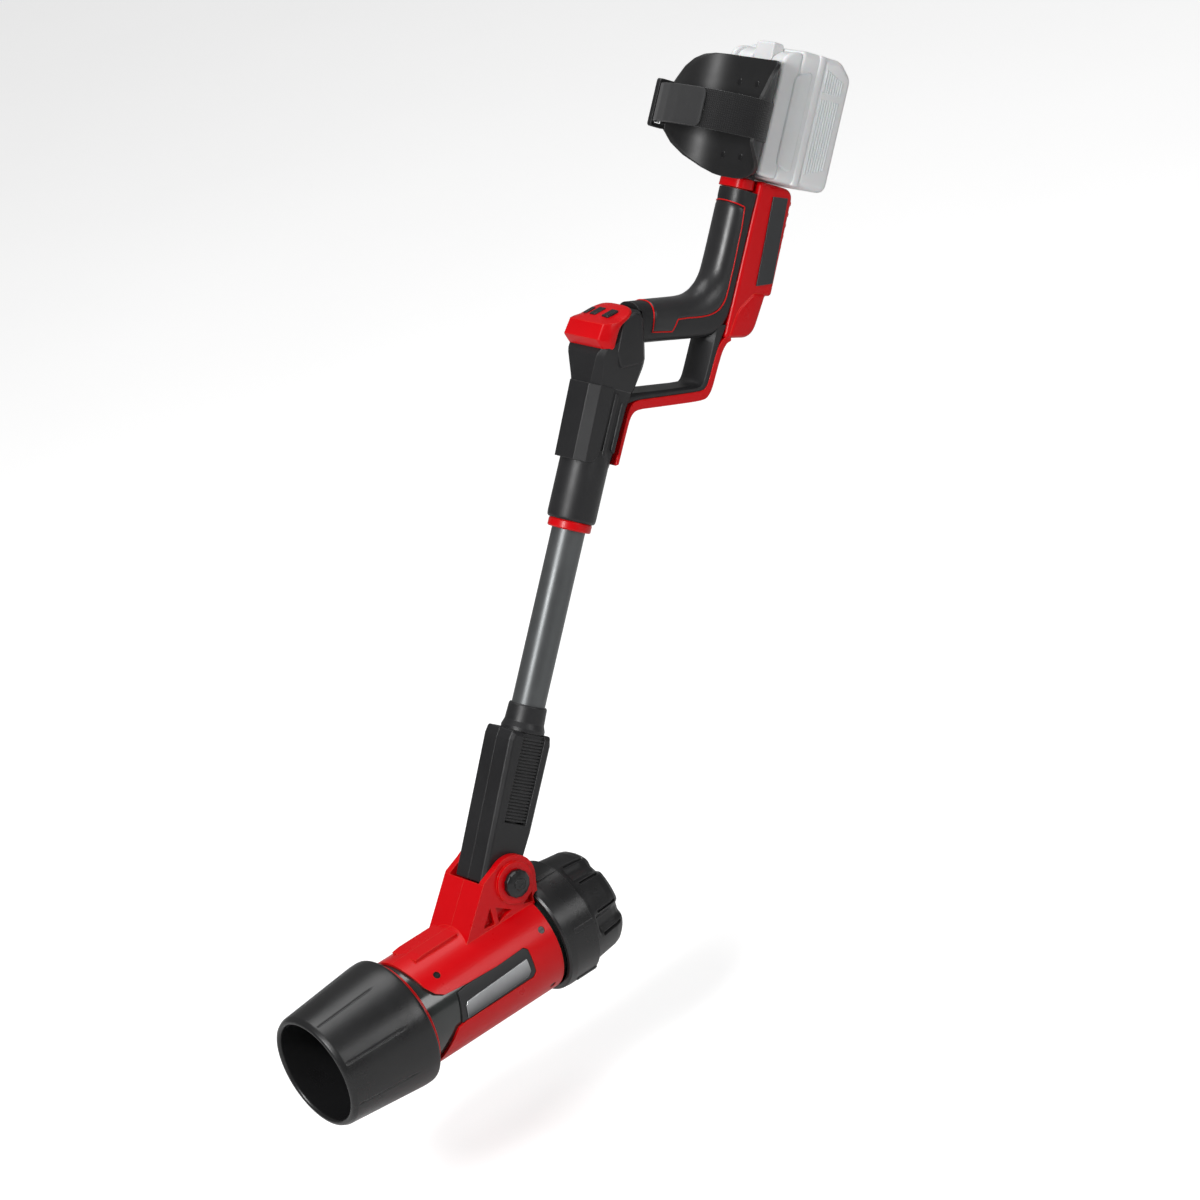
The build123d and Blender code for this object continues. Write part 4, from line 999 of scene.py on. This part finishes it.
def pack_cover_shells(ribs):
    """The battery's rear cover: its slab, a raised seam round its front, and on each side long
    ribs that follow the pole and a block of short ribs above them."""
    shells = [pillow(pack_side(-127.5, -165.0), 6.0, -38.5, 38.5, 6.0, 7)]
    shells.append(pillow(pack_side(-122.0, -130.5, 649.9), 3.0, -39.1, 39.1, 2.4))
    for n, q in enumerate(np.linspace(-134.0, -154.0, ribs)):
        foot = 663.0 + n
        long_rib = [(q - 0.7, foot), (q + 0.7, foot), (q + 0.7, 731.0), (q - 0.7, 731.0)]
        short_rib = [(q - 0.9, 737), (q + 0.9, 737), (q + 0.9, 757.0 - n), (q - 0.9, 757.0 - n)]
        for corners in (long_rib, short_rib):
            shells += both_flanks(corners, 0.6, 37.6, 39.0, 0.45, 3)
    return shells


def pack_housing_shells():
    """The battery's front housing: its slab behind the dock, a raised shoulder and panel on each
    side and the hoods beside its latch."""
    shoulder = [(-82.6, 652), (-82.6, 757), (-90, 763.5), (-104, 766), (-104, 651)]
    panel = [(-99, 664), (-99, 745), (-118, 752), (-118, 660)]
    hood = [(-87.5, 748), (-87.5, 757), (-96, 763.6), (-110, 766.6), (-110, 748)]
    return [
        pillow(pack_side(-101.6, -128.2), 6.0, -38.2, 38.2, 5.0, 6),
        *both_flanks(shoulder, 5, 31.4, 37.8, 3.0, 5),
        *both_flanks(panel, 6, 34.0, 39.2, 1.6),
        *both_flanks(hood, 5, 12.8, 36.0, 3.4, 5),
    ]


def rivet_shells():
    """The four low discs that close the cuff's screws, each a flat dome about its own axis."""
    turn = circle(32)
    radius = np.array([0.02, 3.2, 3.2, 2.8, 1.6, 0.02])[:, None]
    q = np.array([-84.0, -84.0, -79.9, -79.5, -79.4, -79.4])[:, None]
    places = [(y, p) for y in (-12.0, 12.0) for p in (664.0, 730.0)]
    y, p = radius * np.cos(turn), radius * np.sin(turn)
    return [lofted(pole_place(q, at_y + y, at_p + p)) for at_y, at_p in places]


def dome_shell(node):
    """A button's rubber return dome, turned about the upright axis of the CAD dome's box: full
    width at the foot, tapering to two thirds under an eased crown."""
    low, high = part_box(node)
    middle = (low + high) / 2
    turn = circle(40)
    reach = (high.x - low.x) / 2 * np.array([0.01, 1.0, 1.0, 0.72, 0.66, 0.6, 0.01])[:, None]
    rise = (high.z - low.z) * np.array([0, 0, 0.08, 0.85, 0.96, 1.0, 1.0])[:, None]
    x, y = middle.x + reach * np.cos(turn), middle.y + reach * np.sin(turn)
    return lofted(np.stack([x, y, low.z + rise + 0 * turn], -1))


# Stage

# Each lamp's place, its size in metres and its power in watts; all face one point
LAMPS = {
    "key_light": ((2.6, 1.0, 1.9), 0.9, 84.0),
    "fill_light": ((-1.0, 3.2, 1.2), 1.4, 26.0),
    "top_light": ((-0.3, -0.6, 2.8), 2.0, 46.0),
}
LAMPS_FACE = (0.2, 0.0, -0.25)
ROOM_BRIGHTNESS = 0.20
# The camera's directions and place in the row frame, and its lens on a film 36 mm wide
CAMERA_RIGHT, CAMERA_UP = (-0.7399, 0.6206, -0.2598), (-0.4497, -0.1690, 0.8771)
CAMERA_BACK, CAMERA_PLACE = (0.5004, 0.7657, 0.4041), (2.4565, 3.5308, 1.6576)
LENS, FILM = 156.73, 36.0
# The floor: its half width, how far it stays flat, how it rises beyond, and how far below the
# level head it lies, which the tilted head's outlet needs
FLOOR_HALF, FLOOR_FLAT, FLOOR_RISE, TILT_ROOM = 9, 4.0, 0.12, 0.118
FLOOR_TONES, FLOOR_GLOW = (0.66, 0.70), 0.55  # its greys, and what the camera sees it give off


def lay_floor():
    """A pale floor: a wide flat grid below the lowest point that the tilted head reaches, raised
    far off in a slow parabola so that it has no horizon."""
    t = bowed(np.linspace(-1, 1, 41), 1.6) * FLOOR_HALF
    x, y = np.meshgrid(t, t, indexing="ij")
    far = np.maximum(np.hypot(x, y) - FLOOR_FLAT, 0)
    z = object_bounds()[0].z - TILT_ROOM + FLOOR_RISE * far**2
    mesh = smooth_mesh("studio_floor", *open_sheet(np.stack([x, y, z], -1)))
    made = bpy.data.materials.new("studio_white")
    made.use_nodes = True
    tree = made.node_tree
    tree.nodes.clear()
    seen = wire(tree, "ShaderNodeLightPath").outputs["Is Camera Ray"]
    shader = wire(tree, "ShaderNodeBsdfPrincipled", {
        "Base Color": ranged(tree, noise(tree, 3.0), 0.0, 1.0, *FLOOR_TONES), "Roughness": 0.9,
        "Emission Color": (1.0, 1.0, 1.0, 1.0),
        "Emission Strength": maths(tree, "MULTIPLY", seen, FLOOR_GLOW),
    })
    wire(tree, "ShaderNodeOutputMaterial", {"Surface": shader.outputs[0]})
    mesh.materials.append(made)
    linked("studio_floor", mesh)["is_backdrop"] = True


def set_camera():
    """The camera: its place and its three directions in the row frame, with its long lens."""
    data = bpy.data.cameras.new("camera")
    data.lens, data.sensor_width = LENS, FILM
    data.clip_start, data.clip_end = 0.1, 60
    camera = linked("camera", data)
    columns = (CAMERA_RIGHT, CAMERA_UP, CAMERA_BACK, CAMERA_PLACE)
    camera.matrix_world = Matrix([*zip(*columns), (0, 0, 0, 1)])
    bpy.context.scene.camera = camera


def light_room():
    """A pale room with a large key light from the front left, a softer fill and a light above."""
    scene = bpy.context.scene
    scene.view_settings.view_transform = "Standard"
    world = bpy.data.worlds.new("pale_room")
    world.use_nodes = True
    background = world.node_tree.nodes["Background"]
    background.inputs["Color"].default_value = (1.0, 1.0, 1.0, 1.0)
    background.inputs["Strength"].default_value = ROOM_BRIGHTNESS
    scene.world = world
    for name, (place, size, power) in LAMPS.items():
        data = bpy.data.lights.new(name, "AREA")
        data.shape, data.size, data.energy = "SQUARE", size, power
        lamp = linked(name, data)
        lamp.location = place
        lamp.rotation_mode = "QUATERNION"
        lamp.rotation_quaternion = (Vector(LAMPS_FACE) - Vector(place)).to_track_quat("-Z", "Y")


# Settings, operators and panel


class FinishSettings(bpy.types.PropertyGroup):
    """The blower's main colours."""

    housing: FloatVectorProperty(
        name="Black housing", description="Colour of the handle, column and arm", subtype="COLOR", size=3,
        default=FINISHES["black_housing"]["colour"], min=0.0, max=1.0,
    )
    shell: FloatVectorProperty(
        name="Red shell", description="Colour of the red mouldings", subtype="COLOR", size=3,
        default=FINISHES["red_shell"]["colour"], min=0.0, max=1.0,
    )
    pack: FloatVectorProperty(
        name="Battery", description="Colour of the battery", subtype="COLOR", size=3,
        default=FINISHES["pack_grey"]["colour"], min=0.0, max=1.0,
    )


class NozzleSettings(bpy.types.PropertyGroup):
    """What can be changed on the nozzle."""

    grooves: IntProperty(
        name="Grooves", description="How many grooves run along the nozzle", default=8, min=3, max=16,
    )
    groove_width: FloatProperty(
        name="Groove width", description="Width of a groove", default=0.0012, unit="LENGTH",
    )
    groove_depth: FloatProperty(
        name="Groove depth", description="Depth of a groove", default=0.0008, unit="LENGTH",
    )


class HandleSettings(bpy.types.PropertyGroup):
    """What can be changed on the handle."""

    seam_radius: FloatProperty(
        name="Seam bead", description="Radius of the red seam bead", default=0.00062, unit="LENGTH",
    )
    rib_count: IntProperty(
        name="Vent ribs", description="How many ribs run up the rear housing", default=9, min=3, max=16,
    )


class PackSettings(bpy.types.PropertyGroup):
    """What can be changed on the strap and battery."""

    strap_low: FloatProperty(
        name="Strap's lower edge", description="Its distance up the pole from the pivot", default=0.679,
        unit="LENGTH",
    )
    strap_high: FloatProperty(
        name="Strap's upper edge", description="Its distance up the pole from the pivot", default=0.714,
        unit="LENGTH",
    )
    side_ribs: IntProperty(
        name="Side ribs", description="How many ribs the battery's side has", default=8, min=3, max=12,
    )


class BLOWER_OT_dress_nodes(bpy.types.Operator):
    """Gives every node of the frame its own finish"""

    bl_idname = "blower.dress_nodes"
    bl_label = "Dress frame nodes"

    def execute(self, context):
        dress_frame_nodes()
        return {"FINISHED"}


class BLOWER_OT_nozzle(bpy.types.Operator):
    """Makes the grooved nozzle"""

    bl_idname = "blower.nozzle"
    bl_label = "Nozzle"

    def execute(self, context):
        held = context.scene.blower_nozzle
        shell = nozzle_shell(held.grooves, held.groove_width / MM, held.groove_depth / MM)
        make_piece("round_nozzle", [shell], "black_nozzle", ["blower_nozzle"], 50, "nozzle")
        return {"FINISHED"}


class BLOWER_OT_guard(bpy.types.Operator):
    """Makes the lobed intake guard"""

    bl_idname = "blower.guard"
    bl_label = "Intake guard"

    def execute(self, context):
        make_piece("lobed_guard", guard_shells(), "black_nozzle", ["intake_guard"], 40, "head")
        return {"FINISHED"}


class BLOWER_OT_bolt(bpy.types.Operator):
    """Makes the pivot bolt"""

    bl_idname = "blower.bolt"
    bl_label = "Pivot bolt"

    def execute(self, context):
        make_piece("domed_bolt", bolt_shells(), "bolt_black", ["pivot_bolt"], 30, "head")
        return {"FINISHED"}


class BLOWER_OT_grip(bpy.types.Operator):
    """Makes the bar and post, their soft cover and its red seam"""

    bl_idname = "blower.grip"
    bl_label = "Grip"

    def execute(self, context):
        make_piece("grip_frame", [grip_frame_shell()], "black_housing", sharp=50)
        walled(make_piece("soft_cover", [soft_cover_grid()], "soft_grip", ["grip_cover"], 60), 1.4)
        bead = bead_on(*seam_line(), context.scene.blower_handle.seam_radius)
        make_piece("seam_bead", [bead], "red_shell", sharp=80)
        return {"FINISHED"}


class BLOWER_OT_column(bpy.types.Operator):
    """Makes the control column with its ribs and front cover, and the loop"""

    bl_idname = "blower.column"
    bl_label = "Column and loop"

    def execute(self, context):
        slot = "black_housing"
        halves = ["handle_left", "handle_right"]
        bevelled(make_piece("control_column", tower_shells(), slot, halves, 20), 1.1)
        make_piece("column_ribs", column_rib_shells(), slot, sharp=50)
        make_piece("flank_facets", flank_facet_shells(), slot, sharp=50)
        cover = [front_cover_shell()]
        bevelled(make_piece("front_cover", cover, slot, ["control_front_cover"], 20), 1.2)
        bevelled(make_piece("hand_loop", [loop_shell()], slot, sharp=30), 1.0)
        return {"FINISHED"}


class BLOWER_OT_red_parts(bpy.types.Operator):
    """Makes the control cap, the red band, the rear housing and its ribs, and the neck"""

    bl_idname = "blower.red_parts"
    bl_label = "Red band and housing"

    def execute(self, context):
        slot = "red_shell"
        cap = make_piece("crowned_cap", [control_cap_shell()], slot, ["control_cap"], 24)
        bevelled(cap, 0.5, 2)
        make_piece("red_band", [spine_shell()], slot, ["handle_spine"], 50)
        make_piece("red_housing", rear_housing_shells(), slot, ["rear_housing"], 50)
        ribs = vent_rib_shells(context.scene.blower_handle.rib_count)
        make_piece("vent_ribs", ribs, slot, ["vent_grille"], 50)
        make_piece("red_neck", [neck_shell()], slot, ["cuff_neck"], 40)
        return {"FINISHED"}


class BLOWER_OT_domes(bpy.types.Operator):
    """Makes the rubber return domes under the two buttons, each with its own copy of its mesh"""

    bl_idname = "blower.domes"
    bl_label = "Return domes"

    def execute(self, context):
        for key in ("power", "speed"):
            node = f"{key}_dome"
            dome = make_piece(f"{key}_return_dome", [dome_shell(node)], "rubber", [node])
            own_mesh(dome)
        return {"FINISHED"}


class BLOWER_OT_cuff(bpy.types.Operator):
    """Makes the forearm cuff"""

    bl_idname = "blower.cuff"
    bl_label = "Forearm cuff"

    def execute(self, context):
        cuff = make_piece("forearm_cuff", [cuff_grid()], "cuff_plastic", ["arm_cuff"], 60)
        walled(cuff, 3.0)
        bevelled(cuff, 1.2, angle=50)
        make_piece("cuff_rivets", rivet_shells(), "bolt_black", ["cuff_screws"])
        return {"FINISHED"}


class BLOWER_OT_strap(bpy.types.Operator):
    """Makes the strap, its end patch and the buckle"""

    bl_idname = "blower.strap"
    bl_label = "Strap and buckle"

    def execute(self, context):
        held = context.scene.blower_pack
        low, high = held.strap_low / MM, held.strap_high / MM
        shell, uv = band(STRAP_PATH, low, high, 2.0, 120)
        give_uv(make_piece("woven_strap", [shell], "webbing", ["cuff_strap"], 60), uv)
        shell, uv = band(PATCH_PATH, low + 0.4, high - 0.4, 1.5, 110, end_round=6)
        give_uv(make_piece("strap_end", [shell], "webbing", sharp=60, look="strap_patch"), uv)
        make_piece("loop_buckle", [buckle_shell(low, high)], "cuff_plastic", ["strap_buckle"], 50)
        return {"FINISHED"}


class BLOWER_OT_battery(bpy.types.Operator):
    """Makes the battery's housing and ribbed cover"""

    bl_idname = "blower.battery"
    bl_label = "Battery"

    def execute(self, context):
        slot, body = "pack_grey", "battery"
        make_piece("pack_housing", pack_housing_shells(), slot, ["battery_housing"], 50, body)
        cover = pack_cover_shells(context.scene.blower_pack.side_ribs)
        make_piece("pack_cover", cover, slot, ["battery_cover"], 50, body)
        return {"FINISHED"}


class BLOWER_OT_stage(bpy.types.Operator):
    """Sets the camera, the lights and the pale floor"""

    bl_idname = "blower.stage"
    bl_label = "Stage"

    def execute(self, context):
        set_camera()
        light_room()
        lay_floor()
        return {"FINISHED"}


STEPS = (
    BLOWER_OT_dress_nodes, BLOWER_OT_nozzle, BLOWER_OT_guard, BLOWER_OT_bolt, BLOWER_OT_grip,
    BLOWER_OT_column, BLOWER_OT_red_parts, BLOWER_OT_domes, BLOWER_OT_cuff, BLOWER_OT_strap,
    BLOWER_OT_battery, BLOWER_OT_stage,
)
SETTINGS = {
    "blower_finish": FinishSettings, "blower_nozzle": NozzleSettings, "blower_handle": HandleSettings,
    "blower_pack": PackSettings,
}


class BLOWER_PT_steps(bpy.types.Panel):
    """Lists the settings and the steps that build the blower"""

    bl_idname = "BLOWER_PT_steps"
    bl_label = "Leaf blower"
    bl_space_type = "VIEW_3D"
    bl_region_type = "UI"
    bl_category = "Leaf Blower"

    def draw(self, context):
        for name, kind in SETTINGS.items():
            box = self.layout.box()
            for key in kind.__annotations__:
                box.prop(getattr(context.scene, name), key)
        for step in STEPS:
            self.layout.operator(step.bl_idname)


def register():
    """Registers the settings, the steps and the panel."""
    for kind in (*SETTINGS.values(), *STEPS, BLOWER_PT_steps):
        bpy.utils.register_class(kind)
    for name, kind in SETTINGS.items():
        setattr(bpy.types.Scene, name, PointerProperty(type=kind))


def unregister():
    """Takes away what register added."""
    for name in SETTINGS:
        delattr(bpy.types.Scene, name)
    for kind in (BLOWER_PT_steps, *reversed(STEPS), *reversed(SETTINGS.values())):
        bpy.utils.unregister_class(kind)


def main():
    """Runs every step in order."""
    register()
    for step in STEPS:
        group, name = step.bl_idname.split(".")
        getattr(getattr(bpy.ops, group), name)()


if __name__ == "__main__":
    main()
